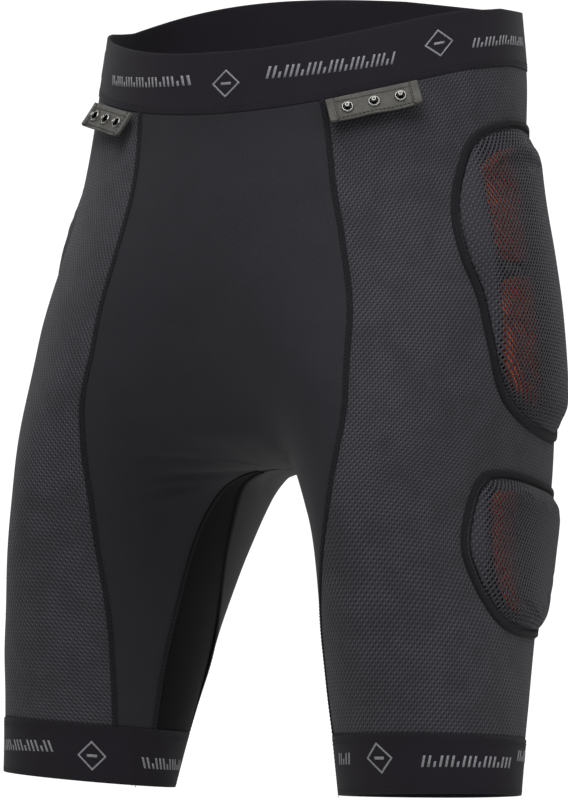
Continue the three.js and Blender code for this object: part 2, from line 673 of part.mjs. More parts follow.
// A stud: a rimmed washer with a post whose head is a little wider than its neck.
function studGeometry() {
  const rim = 1.2;
  const neck = STUD_POST_RADIUS - 0.25;
  const profile = [
    [0, 0], [STUD_RADIUS, 0], [STUD_RADIUS, rim * 0.7], [STUD_RADIUS - 0.7, rim], [neck, rim * 0.8],
    [neck, STUD_HEIGHT - 1.1], [STUD_POST_RADIUS, STUD_HEIGHT - 0.5], [STUD_POST_RADIUS - 0.2, STUD_HEIGHT],
    [0, STUD_HEIGHT],
  ];
  return new THREE.LatheGeometry(profile.map(([r, y]) => new THREE.Vector2(r, y)), LATHE_SEGMENTS);
}

function rivetGeometry() {
  const profile = [
    [0, 0], [RIVET_RADIUS, 0], [RIVET_RADIUS, RIVET_HEIGHT * 0.6], [RIVET_RADIUS - 0.8, RIVET_HEIGHT],
    [0, RIVET_HEIGHT],
  ];
  const cap = new THREE.LatheGeometry(profile.map(([r, y]) => new THREE.Vector2(r, y)), LATHE_SEGMENTS);
  return cap.rotateX(Math.PI);
}

// ---- Assembly -----------------------------------------------------------------------------------------

const shorts = new THREE.Group();

function add(name, geometry, material, parent = shorts) {
  const mesh = new THREE.Mesh(parent === shorts ? askew(geometry) : geometry, material);
  mesh.name = name;
  parent.add(mesh);
  return mesh;
}

add('waistband', waistband(), finish(COLOURS.band, 0.85));
add('front_panel', joined([frontHalf(1), frontHalf(-1)]), finish(COLOURS.stretch, 0.7));
add('seat_panel', joined([seatHalf(1), seatHalf(-1)]), finish(COLOURS.stretch, 0.7));

for (const [label, side] of [['left', 1], ['right', -1]]) {
  const onBody = (angle, level, offset) => {
    const point = bodyPoint(angle, level, offset);
    point.x *= side;
    return point;
  };
  const turned = (points) => points.map(([angle, level]) => [angle + (side > 0 ? 0 : THIGH_TURN), level]);
  const thighPocket = turned(THIGH_POCKET);
  const hipScale = 2.6;           // millimetres to a degree at the hip
  const thighScale = 1.2;         // and at the thigh
  add(`side_panel_${label}`, sidePanel(side), finish(COLOURS.mesh, 0.9));
  add(`inner_thigh_panel_${label}`, innerThighPanel(side), finish(COLOURS.inner, 0.8));
  add(`leg_cuff_${label}`, cuff(side), finish(COLOURS.cuff, 0.85));
  add(`cuff_gripper_${label}`, gripper(side), finish(COLOURS.silicone, 0.5));
  add(`hip_foam_upper_${label}`, foam(HIP_FOAM_UPPER, HIP_POCKET, HIP_FOAM_THICKNESS, onBody),
    finish(COLOURS.foam, 0.9));
  add(`hip_foam_lower_${label}`, foam(HIP_FOAM_LOWER, HIP_POCKET, HIP_FOAM_THICKNESS, onBody),
    finish(COLOURS.foam, 0.9));
  add(`hip_pocket_cover_${label}`, pocketCover(HIP_POCKET, HIP_FOAM_THICKNESS, onBody), finish(COLOURS.mesh, 0.9));
  add(`hip_pocket_binding_${label}`, binding(HIP_POCKET, hipScale, onBody), finish(COLOURS.edge, 0.8));
  add(`thigh_foam_${label}`, foam(turned(THIGH_FOAM), thighPocket, THIGH_FOAM_THICKNESS, onBody),
    finish(COLOURS.foam, 0.9));
  add(`thigh_pocket_cover_${label}`, pocketCover(thighPocket, THIGH_FOAM_THICKNESS, onBody),
    finish(COLOURS.mesh, 0.9));
  add(`thigh_pocket_binding_${label}`, binding(thighPocket, thighScale, onBody), finish(COLOURS.edge, 0.8));

  const tape = tapeFrame(side);
  shorts.add(tape);
  add(`popper_tape_${label}`, tapePlate(), finish(COLOURS.tape, 0.6), tape);
  for (let i = 0; i < STUD_COUNT; i += 1) {
    const across = (i - (STUD_COUNT - 1) / 2) * STUD_PITCH;
    const middle = -TAPE_MARGIN - TAPE_DROP / 2;
    const seat = TAPE_THICKNESS / 2 + STUD_GAP;
    add(`popper_stud_${label}_${i + 1}`, studGeometry(), finish(COLOURS.metal, 0.3, 1), tape)
      .position.set(across, seat, middle);
    add(`popper_rivet_${label}_${i + 1}`, rivetGeometry(), finish(COLOURS.metal, 0.35, 1), tape)
      .position.set(across, -seat, middle);
  }
}

add('tailbone_foam', foam(TAIL_POCKET.map(([u, v]) => [u * 0.82, tailLevel(0.5) + (v - tailLevel(0.5)) * 0.88]),
  TAIL_POCKET, TAIL_FOAM_THICKNESS, seatPoint), finish(COLOURS.foam, 0.9));
add('tailbone_pocket_cover', pocketCover(TAIL_POCKET, TAIL_FOAM_THICKNESS, seatPoint), finish(COLOURS.mesh, 0.9));
add('tailbone_pocket_binding', binding(TAIL_POCKET, 1, seatPoint), finish(COLOURS.edge, 0.8));

export default shorts;
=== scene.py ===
"""Padded impact shorts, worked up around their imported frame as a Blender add-on.

Every piece is a sheet, pad, strip or stud laid on one pants-shaped body surface. A spot on that surface
is an angle round the body in degrees (0 front, 90 outer side, 180 back, -90 or 270 the inseam) and a
level in millimetres below the waist. Shapes are worked out in millimetres and put into meshes in metres.
"""

import math

import bpy
import numpy as np
from mathutils import Matrix, Vector


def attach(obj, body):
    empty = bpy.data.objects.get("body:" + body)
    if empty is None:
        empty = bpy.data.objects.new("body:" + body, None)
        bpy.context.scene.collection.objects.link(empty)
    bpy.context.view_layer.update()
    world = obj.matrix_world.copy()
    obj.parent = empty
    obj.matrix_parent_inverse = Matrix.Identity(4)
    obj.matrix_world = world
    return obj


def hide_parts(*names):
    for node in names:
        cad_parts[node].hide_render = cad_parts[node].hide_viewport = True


bl_info = {
    "name": "Padded Impact Shorts",
    "version": (1, 0, 0),
    "blender": (4, 5, 0),
    "location": "View3D > Sidebar > Shorts",
    "description": "Builds padded impact shorts from sewn sheets, foam pads and press studs",
    "category": "Add Mesh",
}

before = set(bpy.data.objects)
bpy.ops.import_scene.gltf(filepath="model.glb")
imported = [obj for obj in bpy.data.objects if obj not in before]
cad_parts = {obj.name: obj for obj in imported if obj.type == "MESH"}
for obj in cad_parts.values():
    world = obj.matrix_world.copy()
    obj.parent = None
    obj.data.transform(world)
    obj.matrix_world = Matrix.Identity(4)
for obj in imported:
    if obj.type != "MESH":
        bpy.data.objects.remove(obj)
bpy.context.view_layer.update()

MM = 0.001
SIDES = (("left", 1), ("right", -1))

# ---- The body surface ---------------------------------------------------------------------------------

RISE = 306.0
INSEAM = 219.0
HEM = RISE + INSEAM
CROTCH_BRIDGE = 28.0
WEB_REACH = 42.0                # how far from the middle the web of cloth at the crotch reaches
FRONT_DIP = 22.0
DIP_START = 32.0
DIP_REACH = 88.0
DIP_DEPTH = 220.0
SIDE_DIP = 4.5                  # how far the waist dips at its sides, over the first of its height
SIDE_DIP_DEPTH = 50.0
WAIST_HALF_WIDTH = 149.0
BACK_SKEW = 0.001               # the back hangs lower on the left, by this times x times y
SKEW_DEPTH = 200.0


def rise(share):
    return RISE * share


def leg(share):
    return RISE + INSEAM * share


# level, half width, middle of the leg, front, back, tilt towards the back, lean outwards
GIRTHS = np.array([
    (0, WAIST_HALF_WIDTH, 0, -117.5, 120.5, 0.136, -0.02),
    (rise(0.163), 154.5, 9, -120.5, 116.5, 0.115, 0.01),
    (rise(0.363), 157.5, 24, -133.5, 111, 0.075, 0.015),
    (rise(0.562), 170, 44, -143.5, 107, 0.015, 0.02),
    (rise(0.765), 180, 73.5, -149, 98, -0.055, 0.025),
    (rise(0.951), 180, 106, -153, 86, -0.125, 0.035),
    (leg(0.232), 176.5, 121.5, -158, 66, -0.175, 0.045),
    (leg(0.594), 188.5, 130.5, -143.5, 22, -0.125, 0.025),
    (leg(1), 196.5, 138.5, -123, -24, -0.095, 0.05),
], float)

# level, depth of the web that keeps the front and the seat close to upright down to the crotch
WEB = np.array([
    (RISE - 90, 0), (RISE - 44, 13.6), (RISE - 26, 21), (RISE - 11, 23.8), (RISE - 3, 19.8),
    (RISE + 2, 17.5), (RISE + 14, 8), (RISE + 40, 0),
], float)

BAND_HEIGHT = 45.0
CUFF_HEIGHT = 36.0
CUFF_TOP = HEM - CUFF_HEIGHT
PANEL = 1.2                     # thickness of a panel; its outer face is this far off the body

# level, angle, twist of the garment on the body
FRONT_SEAM = np.array([
    (BAND_HEIGHT, 27.4, 2.4), (rise(0.31), 25.6, 6.3), (rise(0.49), 23.5, 8.8), (rise(0.686), 18.4, 10.4),
    (rise(0.846), 9, 11.8), (leg(0.018), -5.7, 14.4), (leg(0.247), -21, 15), (leg(0.4), -32.5, 9.4),
    (leg(0.566), -44, 1.5), (leg(1), -50, 0),
], float)
BACK_SEAM = np.array([
    (BAND_HEIGHT, 140), (rise(0.3), 148), (rise(0.82), 149), (rise(0.98), 160), (leg(0.15), 168),
    (leg(1), 168),
], float)
INNER_PANEL = np.array([
    (RISE, 0.2, 0.2), (RISE + 3, 0.5, 1), (RISE + 12, 1.5, 5), (leg(0.35), 4, 24), (leg(0.6), 12, 34),
    (leg(1), 17, 45),
], float)


def between(table, column, level):
    """Smooth curve through a table's rows: a cubic between rows, its slope at a row the mean of the
    slopes either side, each weighted by the other side's length."""
    rows, value = table[:, 0], table[:, column]
    length = np.diff(rows)
    slope = np.diff(value) / length
    inner = (slope[:-1] * length[1:] + slope[1:] * length[:-1]) / (length[1:] + length[:-1])
    at = np.concatenate([slope[:1], inner, slope[-1:]])
    i = np.clip(np.searchsorted(rows, level) - 1, 0, len(rows) - 2)
    t = np.clip((level - rows[i]) / length[i], 0, 1)
    t2, t3 = t * t, t * t * t
    return (value[i] * (2 * t3 - 3 * t2 + 1) + at[i] * length[i] * (t3 - 2 * t2 + t)
            + value[i + 1] * (3 * t2 - 2 * t3) + at[i + 1] * length[i] * (t3 - t2))


def girth(level):
    """Middle of the leg, half width, middle depth, half depth, tilt, lean and web at a level."""
    outer, middle, front, back, tilt, lean = (between(GIRTHS, c, level) for c in range(1, 7))
    web = between(WEB, 1, level)
    return middle, outer - middle, (front + back) / 2, (back - front) / 2, tilt, lean, web


def spread_at(x, g):
    """The measure of x that the section is an ellipse in: the root of x squared and the bridge squared,
    and near the middle plane the web on top, which falls off as a bell."""
    return np.hypot(x, CROTCH_BRIDGE) + g[6] * np.exp(-(x / WEB_REACH) ** 2)


def across_for(spread, g):
    """The x that has a given spread, found by halving."""
    near, far = np.zeros_like(spread), np.maximum(spread, 0)
    for _ in range(40):
        x = (near + far) / 2
        below = spread_at(x, g) < spread
        near, far = np.where(below, x, near), np.where(below, far, x)
    return near


def middle_angle(level):
    """Angle at which the section meets the middle plane: -90 once the legs have parted."""
    g = girth(level)
    return np.degrees(np.arcsin(np.maximum(-1, (spread_at(0 * level, g) - g[0]) / g[1])))


def height_of(level, x, y, g):
    fade = np.clip(1 - level / DIP_DEPTH, 0, 1)
    dip = FRONT_DIP * fade * (np.maximum(-y - DIP_START, 0) / DIP_REACH) ** 1.5
    side_dip = SIDE_DIP * np.clip(1 - level / SIDE_DIP_DEPTH, 0, 1) * (x / WAIST_HALF_WIDTH) ** 6
    return -level + g[4] * y + g[5] * (np.abs(x) - g[0]) - dip - side_dip


def section_value(x, y, g):
    """Zero on the surface: an ellipse in the spread and y."""
    return ((spread_at(x, g) - g[0]) / g[1]) ** 2 + ((y - g[2]) / g[3]) ** 2 - 1


def offset_from(x, y, level, offset):
    """The spot moved along the surface's gradient, and the gradient as a unit vector."""
    step = 0.5
    g, above, below = girth(level), girth(level - step), girth(level + step)
    per_level = (section_value(x, y, below) - section_value(x, y, above)) / (2 * step)
    drop = (height_of(level + step, x, y, below) - height_of(level - step, x, y, above)) / (2 * step)
    along_y = (height_of(level, x, y + step, g) - height_of(level, x, y - step, g)) / (2 * step)
    grad_x = (section_value(x + step, y, g) - section_value(x - step, y, g)) / (2 * step)
    grad_y = (section_value(x, y + step, g) - section_value(x, y - step, g)) / (2 * step)
    normal = np.stack([
        np.where(np.abs(x) < 0.01, 0, grad_x - per_level * g[5] * np.sign(x) / drop),
        grad_y - per_level * along_y / drop,
        per_level / drop + 0 * x,
    ], -1)
    normal /= np.linalg.norm(normal, axis=-1, keepdims=True)
    point = np.stack([x, y, height_of(level, x, y, g)], -1)
    return point + normal * np.asarray(offset)[..., None], normal


def crease(angle, level, at, direction, length, width, depth):
    """A fold: a groove with a low ridge beside it, along a line through at = (angle, level), turned by
    direction degrees, that fades out towards its ends. Angles are taken the short way round."""
    arc = ((angle - at[0] + 180) % 360 - 180) * 1.1
    fall = level - at[1]
    c, s = math.cos(math.radians(direction)), math.sin(math.radians(direction))
    along, across = arc * c + fall * s, -arc * s + fall * c
    groove = -np.exp(-(across / width) ** 2) + 0.45 * np.exp(-((across - 2 * width) / (1.3 * width)) ** 2)
    return depth * groove * np.exp(-(along / length) ** 2)


def soft_step(value):
    value = np.clip(value, 0, 1)
    return value * value * (3 - 2 * value)


def drape(angle, level, side):
    """How far the cloth stands off the body form: slow waves that die out at the band, at the cuffs and
    at the middle plane, and folds where the legs part."""
    reach = 25.0
    middle = middle_angle(level)
    apart = np.minimum(angle - middle, 180 - middle - angle)
    free = soft_step(apart / reach) * soft_step((level - 70) / 60) * soft_step((CUFF_TOP - 12 - level) / 40)
    turn = np.radians(angle)
    waves = (0.5 * np.sin(2 * turn + np.radians(level * 0.9) + side)
             + 0.4 * np.sin(4 * turn - np.radians(level * 1.7) + 2 * side)
             + 0.25 * np.sin(6 * turn + np.radians(level * 4.3)))
    folds = (crease(angle, level, (-72, RISE + 14), 24, 17, 2.2, 1.6)
             + crease(angle, level, (-66, RISE + 26), 33, 15, 2.4, 1.1)
             + crease(angle, level, (-58, RISE + 6), 14, 15, 2.6, 0.8)
             + crease(angle, level, (252, RISE + 10), -24, 17, 2.6, 1.4)
             + crease(angle, level, (240, RISE - 4), -36, 20, 3.0, 1.0))
    return free * waves + folds


def askew(point):
    """Lets the back of the garment down on the left and up on the right, fading out down the body."""
    x, y, z = point[..., 0], point[..., 1], point[..., 2]
    drop = BACK_SKEW * x * np.maximum(y, 0) * np.clip(1 + z / SKEW_DEPTH, 0, 1)
    return np.stack([x, y, z - drop], -1)


def body(angle, level, offset, side=1, cloth=True):
    """Spots on one side of the body and their outward normals, the right side being mirrored."""
    angle, level, offset = np.broadcast_arrays(*(np.asarray(v, float) for v in (angle, level, offset)))
    g = girth(level)
    x = across_for(g[0] + g[1] * np.sin(np.radians(angle)), g)
    y = g[2] - g[3] * np.cos(np.radians(angle))
    point, normal = offset_from(x, y, level, offset + (drape(angle, level, side) if cloth else 0))
    flip = np.stack(np.broadcast_arrays(side, 1.0, 1.0), -1)
    return askew(point * flip), normal * flip


def across_middle(x, level, offset, back=True):
    """Spots by their distance from the middle plane, on the seat or the front, for what crosses it."""
    x, level, offset = np.broadcast_arrays(*(np.asarray(v, float) for v in (x, level, offset)))
    g = girth(level)
    across = (spread_at(x, g) - g[0]) / g[1]
    y = g[2] + (1 if back else -1) * g[3] * np.sqrt(np.maximum(1 - across ** 2, 0))
    point, normal = offset_from(x, y, level, offset)
    return askew(point), normal


def parting_level():
    """Level at which the section parts into two legs, found by halving."""
    above, below = 0.0, HEM
    for _ in range(50):
        level = (above + below) / 2
        g = girth(np.array([level]))
        if g[0][0] - g[1][0] < spread_at(0.0, g)[0]:
            above = level
        else:
            below = level
    return below


CROTCH = parting_level()


def front_seam(level, side):
    return between(FRONT_SEAM, 1, level) + side * between(FRONT_SEAM, 2, level)


def back_seam(level, side=1):
    return between(BACK_SEAM, 1, level)


def inner_front(level, side=1):
    return -90 + np.where(level <= CROTCH, 0, between(INNER_PANEL, 1, level))


def inner_back(level, side=1):
    return 270 - np.where(level <= CROTCH, 0, between(INNER_PANEL, 2, level))


def even_rows(levels, start, end, columns, reference):
    """Angles spread at even arc lengths from start to end on each level, and the arc length of each from
    the reference angle. start, end and reference hold one angle for each level."""
    steps = 240
    middle = middle_angle(levels)[:, None]
    turn = 0.5 - 0.5 * np.cos(np.linspace(0, np.pi, steps + 1))
    angles = middle + (180 - 2 * middle) * turn
    point, _ = body(angles, levels[:, None], 0.0, cloth=False)
    length = np.linalg.norm(np.diff(point, axis=1), axis=2)
    arc = np.concatenate([np.zeros((len(levels), 1)), np.cumsum(length, axis=1)], axis=1)
    share = np.linspace(0, 1, columns + 1)
    out, along = np.empty((len(levels), columns + 1)), np.empty((len(levels), columns + 1))
    for row in range(len(levels)):
        first, last, zero = np.interp((start[row], end[row], reference[row]), angles[row], arc[row])
        along[row] = first + (last - first) * share - zero
        out[row] = np.interp(along[row] + zero, arc[row], angles[row])
        out[row, 0], out[row, -1] = start[row], end[row]
    return out, along


def arc_spot(angle, level, reference=80.0, steps=12):
    """Arc length from the reference angle to scattered spots, by stepping from one to the other."""
    share = np.linspace(0, 1, steps).reshape((-1,) + (1,) * angle.ndim)
    point, _ = body(reference + share * (angle - reference), level + 0 * share, 0.0, cloth=False)
    return np.sign(angle - reference) * np.linalg.norm(np.diff(point, axis=0), axis=-1).sum(0)


# ---- Meshes from grids --------------------------------------------------------------------------------


def quads(rows, columns, wrap_rows=False, wrap_columns=False, start=0):
    """Faces of a grid of points numbered row by row."""
    r = np.arange(rows if wrap_rows else rows - 1)[:, None]
    c = np.arange(columns if wrap_columns else columns - 1)[None, :]
    r1, c1 = (r + 1) % rows, (c + 1) % columns
    corners = [r * columns + c, r * columns + c1, r1 * columns + c1, r1 * columns + c]
    return start + np.stack([np.broadcast_to(k, (len(r), c.size)).ravel() for k in corners], -1)


def make_mesh(name, points, faces, uv=None, material=None):
    """An object from points and uv in millimetres and four-cornered faces. Points that coincide are
    merged, and a face that loses a corner that way becomes a triangle."""
    points = np.asarray(points, float).reshape(-1, 3)
    faces = np.asarray(faces, int)
    corner_uv = np.zeros(faces.shape + (2,)) if uv is None else np.asarray(uv, float).reshape(-1, 2)[faces]
    keys = np.round(points, 3) + 0.0
    _, first, inverse = np.unique(keys, axis=0, return_index=True, return_inverse=True)
    points, faces = points[first], inverse.reshape(-1)[faces]
    doubled = faces == np.roll(faces, -1, axis=1)
    whole, bent = ~doubled.any(1), doubled.sum(1) == 1
    kept = ~doubled[bent]
    loops = np.concatenate([faces[whole].ravel(), faces[bent][kept]])
    loop_uv = np.concatenate([corner_uv[whole].reshape(-1, 2), corner_uv[bent][kept]])
    starts = np.concatenate([np.arange(whole.sum()) * 4, whole.sum() * 4 + np.arange(bent.sum()) * 3])
    mesh = bpy.data.meshes.new(name)
    mesh.vertices.add(len(points))
    mesh.vertices.foreach_set("co", (points * MM).astype(np.float32).ravel())
    mesh.loops.add(len(loops))
    mesh.loops.foreach_set("vertex_index", loops.astype(np.int32))
    mesh.polygons.add(len(starts))
    mesh.polygons.foreach_set("loop_start", starts.astype(np.int32))
    mesh.polygons.foreach_set("use_smooth", np.ones(len(starts), bool))
    mesh.uv_layers.new(name="UVMap").uv.foreach_set("vector", loop_uv.astype(np.float32).ravel())
    mesh.update(calc_edges=True)
    mesh.validate()
    obj = bpy.data.objects.new(name, mesh)
    bpy.context.scene.collection.objects.link(obj)
    if material is not None:
        mesh.materials.append(material)
    return obj


def outward(points, faces, normals):
    """Turns the faces round if they look against the given normals on the whole."""
    p = points.reshape(-1, 3)[faces]
    turned = np.cross(p[:, 2] - p[:, 0], p[:, 3] - p[:, 1])
    looks = (turned * normals.reshape(-1, 3)[faces[:, 0]]).sum()
    return faces if looks > 0 else faces[:, ::-1]


def thicken(obj, thickness, offset=-1.0):
    wall = obj.modifiers.new("Wall", "SOLIDIFY")
    wall.thickness = thickness * MM
    wall.offset = offset
    wall.use_rim = True
    return obj


def join_parts(parts):
    """Several (points, faces, uv) parts as one."""
    counts = np.cumsum([0] + [len(p) for p, _, _ in parts])
    points = np.concatenate([p for p, _, _ in parts])
    faces = np.concatenate([f + n for (_, f, _), n in zip(parts, counts)])
    uv = np.concatenate([t for _, _, t in parts])
    return points, faces, uv


def carry(path, normals, profile, closed=False, heights=None):
    """A strip: a closed profile of (across, up) points carried along a path, across being square to
    the path and lying on the surface. heights adds to each profile point's up, path point by point."""
    ahead = np.roll(path, -1, 0) - np.roll(path, 1, 0)
    if not closed:
        ahead[0], ahead[-1] = path[1] - path[0], path[-1] - path[-2]
    ahead /= np.linalg.norm(ahead, axis=1, keepdims=True)
    across = np.cross(normals, ahead)
    across /= np.linalg.norm(across, axis=1, keepdims=True)
    up = profile[None, :, 1] + (0 if heights is None else heights)
    points = path[:, None] + across[:, None] * profile[None, :, :1] + normals[:, None] * up[..., None]
    n, k = points.shape[:2]
    faces = quads(n, k, wrap_rows=closed, wrap_columns=True)
    middle = points.mean(1, keepdims=True)
    faces = outward(points, faces, points - middle)
    length = np.concatenate([[0], np.cumsum(np.linalg.norm(np.diff(path, axis=0), axis=1))])
    uv = np.stack([np.broadcast_to(length[:, None], (n, k)),
                   np.broadcast_to(profile[None, :, 0], (n, k))], -1)
    points, uv = points.reshape(-1, 3), uv.reshape(-1, 2)
    if not closed:
        points, faces, uv = cap_ends(points, faces, uv, n, k)
    return points, faces, uv


def cap_ends(points, faces, uv, n, k):
    """Closes a strip's two ends with faces across its profile, which has an even number of points."""
    half = k // 2
    i = np.arange(half - 1)
    first = np.stack([i, i + 1, k - 2 - i, k - 1 - i], -1)
    last = first[:, ::-1] + (n - 1) * k
    if len(faces) and np.dot(face_normal(points, faces[0]), face_normal(points, faces[-1])) < -2:
        first, last = first[:, ::-1], last[:, ::-1]
    ring = points[:k].mean(0)
    inward = points[k:2 * k].mean(0) - ring
    if np.dot(face_normal(points, first[0]), inward) > 0:
        first, last = first[:, ::-1], last[:, ::-1]
    return points, np.concatenate([faces, first, last]), uv


def face_normal(points, face):
    p = points[face]
    return np.cross(p[2] - p[0], p[3] - p[1])


def dome(width, height, base=0.0, steps=9):
    """Profile of a soft strip: flat underneath, a low arch on top with rounded shoulders."""
    w = np.linspace(-1, 1, steps)
    top = np.stack([w * width / 2, base + height * (1 - np.abs(w) ** 3.2)], -1)
    top[[0, -1], 1] = base + 0.12 * height
    under = np.stack([w[::-1] * width / 2, np.full(steps, base - 0.15)], -1)
    return np.concatenate([top, under])


def dashes(points, along, normals, length, thickness, lift=0.0):
    """Many short threads: each a low bar of six rings' worth of corners, bent down at its two ends."""
    along = along / np.linalg.norm(along, axis=1, keepdims=True)
    across = np.cross(normals, along)
    across /= np.linalg.norm(across, axis=1, keepdims=True)
    t = np.array([-0.5, -0.3, 0.3, 0.5])
    drop = np.array([-0.9, 0.1, 0.1, -0.9]) * thickness
    ring = np.array([(-0.5, 0.0), (-0.35, 0.42), (0.35, 0.42), (0.5, 0.0), (0.0, -0.3), (-0.2, -0.3)])
    ring = ring * thickness
    local = np.array([(length * a, w, h + d + lift) for a, d in zip(t, drop) for w, h in ring])
    made = (points[:, None] + along[:, None] * local[None, :, :1] + across[:, None] * local[None, :, 1:2]
            + normals[:, None] * local[None, :, 2:])
    k = len(ring)
    one = quads(len(t), k, wrap_columns=True)
    one = outward(made[0], one, made[0] - made[0].reshape(len(t), k, 3).mean(1).repeat(k, 0))
    first = np.array([[0, 1, 4, 5], [1, 2, 3, 4]])
    if np.dot(face_normal(made[0], first[0]), along[0]) > 0:
        first = first[:, ::-1]
    last = first[:, ::-1] + (len(t) - 1) * k
    one = np.concatenate([one, first, last])
    faces = (one[None] + (np.arange(len(points)) * len(local))[:, None, None]).reshape(-1, 4)
    return made.reshape(-1, 3), faces, np.zeros((len(points) * len(local), 2))


def even_path(path, normals, spacing, closed=False):
    """The path and its normals at even distances."""
    if closed:
        path, normals = np.concatenate([path, path[:1]]), np.concatenate([normals, normals[:1]])
    length = np.concatenate([[0], np.cumsum(np.linalg.norm(np.diff(path, axis=0), axis=1))])
    count = max(int(length[-1] / spacing), 4)
    at = np.linspace(0, length[-1], count + 1)[:-1 if closed else None]
    point = np.stack([np.interp(at, length, path[:, k]) for k in range(3)], -1)
    normal = np.stack([np.interp(at, length, normals[:, k]) for k in range(3)], -1)
    normal /= np.linalg.norm(normal, axis=1, keepdims=True)
    ahead = np.roll(point, -1, 0) - np.roll(point, 1, 0)
    if not closed:
        ahead[0], ahead[-1] = point[1] - point[0], point[-1] - point[-2]
    return point, normal, ahead / np.linalg.norm(ahead, axis=1, keepdims=True)


# ---- Outlines -----------------------------------------------------------------------------------------


def smooth_ring(points, share):
    """Closed centripetal Catmull-Rom curve through the points, at shares of its whole from 0 to 1."""
    points = np.asarray(points, float)
    count = len(points)
    at = np.asarray(share, float) * count
    i = np.floor(at).astype(int)
    t = (at - i)[..., None]
    p0, p1, p2, p3 = (points[(i + k) % count] for k in (-1, 0, 1, 2))
    d0, d1, d2 = (np.sqrt(np.linalg.norm(b - a, axis=-1, keepdims=True))
                  for a, b in ((p0, p1), (p1, p2), (p2, p3)))
    s1 = ((p1 - p0) / d0 - (p2 - p0) / (d0 + d1) + (p2 - p1) / d1) * d1
    s2 = ((p2 - p1) / d1 - (p3 - p1) / (d1 + d2) + (p3 - p2) / d2) * d1
    return p1 + s1 * t + (3 * (p2 - p1) - 2 * s1 - s2) * t ** 2 + (2 * (p1 - p2) + s1 + s2) * t ** 3


def round_grid(steps):
    """A square grid bent into a disc: how far out each of its points is, and its turn from 0 to 1."""
    side = np.linspace(-1, 1, steps + 1)
    x, y = np.meshgrid(side, side)
    x, y = x * np.sqrt(1 - y * y / 2), y * np.sqrt(1 - x * x / 2)
    return np.minimum(np.hypot(x, y), 1), (np.arctan2(y, x) / (2 * np.pi)) % 1


def patch(points, steps, reach=1.0):
    """Spots of a patch inside an outline, as a grid, and how far out each is."""
    share, turn = round_grid(steps)
    middle = np.mean(np.asarray(points, float), axis=0)
    spot = middle + (smooth_ring(points, turn) - middle) * (share * reach)[..., None]
    return spot[..., 0], spot[..., 1], share


def share_inside(points, u, v):
    """How far out spots are: 0 in an outline's middle, 1 on it."""
    samples = 360
    middle = np.mean(np.asarray(points, float), axis=0)
    ring = smooth_ring(points, np.arange(samples) / samples) - middle
    turn = np.arctan2(ring[:, 1], ring[:, 0])
    order = np.argsort(turn)
    reach = np.interp(np.arctan2(v - middle[1], u - middle[0]), turn[order],
                      np.hypot(ring[:, 0], ring[:, 1])[order], period=2 * np.pi)
    return np.hypot(u - middle[0], v - middle[1]) / reach


HIP_TOP, HIP_BOTTOM = BAND_HEIGHT + 43, RISE - 21
THIGH_TOP, THIGH_BOTTOM = RISE + 17, RISE + 112
THIGH_TURN = -5.0               # degrees that the right thigh pocket is turned from the left one
TAIL_TOP, TAIL_BOTTOM, TAIL_HALF_WIDTH = BAND_HEIGHT + 27, RISE - 104, 43.0
FOAM_SPLIT = 6.0


def down(top, bottom, spots):
    """Outline points whose second value is a share of the way from top to bottom."""
    return [(u, top + (bottom - top) * v) for u, v in spots]


SPLIT = 0.478
HALF_SPLIT = FOAM_SPLIT / (HIP_BOTTOM - HIP_TOP)
HIP_POCKET = down(HIP_TOP, HIP_BOTTOM, [
    (88, 0), (77, 0.03), (71, 0.14), (67.5, 0.29), (68.3, 0.43), (72, 0.57), (74, 0.72), (78.5, 0.88),
    (85, 0.945), (98, 0.995), (122, 1), (138, 0.88), (142, 0.55), (138, 0.22), (128, 0.06), (108, 0)])
HIP_FOAM_UPPER = down(HIP_TOP, HIP_BOTTOM, [
    (88, 0.07), (77.5, 0.13), (74.5, 0.24), (72.8, 0.39), (82, SPLIT - HALF_SPLIT), (108, SPLIT - HALF_SPLIT),
    (128, SPLIT - HALF_SPLIT), (134, 0.36), (131, 0.2), (124, 0.12), (106, 0.07)])
HIP_FOAM_LOWER = down(HIP_TOP, HIP_BOTTOM, [
    (84, SPLIT + HALF_SPLIT), (76.5, 0.56), (77, 0.7), (79.5, 0.83), (86, 0.905), (103, 0.95), (122, 0.94),
    (132, 0.84), (135, 0.58), (128, SPLIT + HALF_SPLIT), (106, SPLIT + HALF_SPLIT)])
THIGH_POCKET = down(THIGH_TOP, THIGH_BOTTOM, [
    (88, 0.01), (78, 0.05), (74.5, 0.12), (72.6, 0.22), (70.8, 0.36), (69, 0.57), (73, 0.75), (76.5, 0.84),
    (82, 0.93), (89, 0.98), (106, 1), (134, 0.95), (150, 0.79), (157, 0.5), (154, 0.24), (140, 0.03),
    (108, 0)])
THIGH_FOAM = down(THIGH_TOP, THIGH_BOTTOM, [
    (81.5, 0.62), (81, 0.38), (81.5, 0.14), (90, 0.09), (108, 0.09), (132, 0.11), (143, 0.25), (144, 0.55),
    (134, 0.82), (108, 0.9), (91, 0.88)])
TAIL_POCKET = down(TAIL_TOP, TAIL_BOTTOM, [
    (side * TAIL_HALF_WIDTH * u, v) for side, row in (
        (1, ((0, 0), (0.72, 0.03), (1, 0.22), (0.84, 0.58), (0.44, 0.92), (0, 1))),
        (-1, ((0.44, 0.92), (0.84, 0.58), (1, 0.22), (0.72, 0.03)))) for u, v in row])
TAIL_MIDDLE = (TAIL_TOP + TAIL_BOTTOM) / 2
TAIL_FOAM = [(u * 0.82, TAIL_MIDDLE + (v - TAIL_MIDDLE) * 0.88) for u, v in TAIL_POCKET]
HIP_THICK, THIGH_THICK, TAIL_THICK = 7.0, 6.0, 8.0

PAD_BASE = PANEL + 0.1          # where a pad and a pocket's edge rest
COVER_LIFT = 0.2                # cover above foam
COVER_SHOULDER = 0.79
COVER_WALL = 0.8


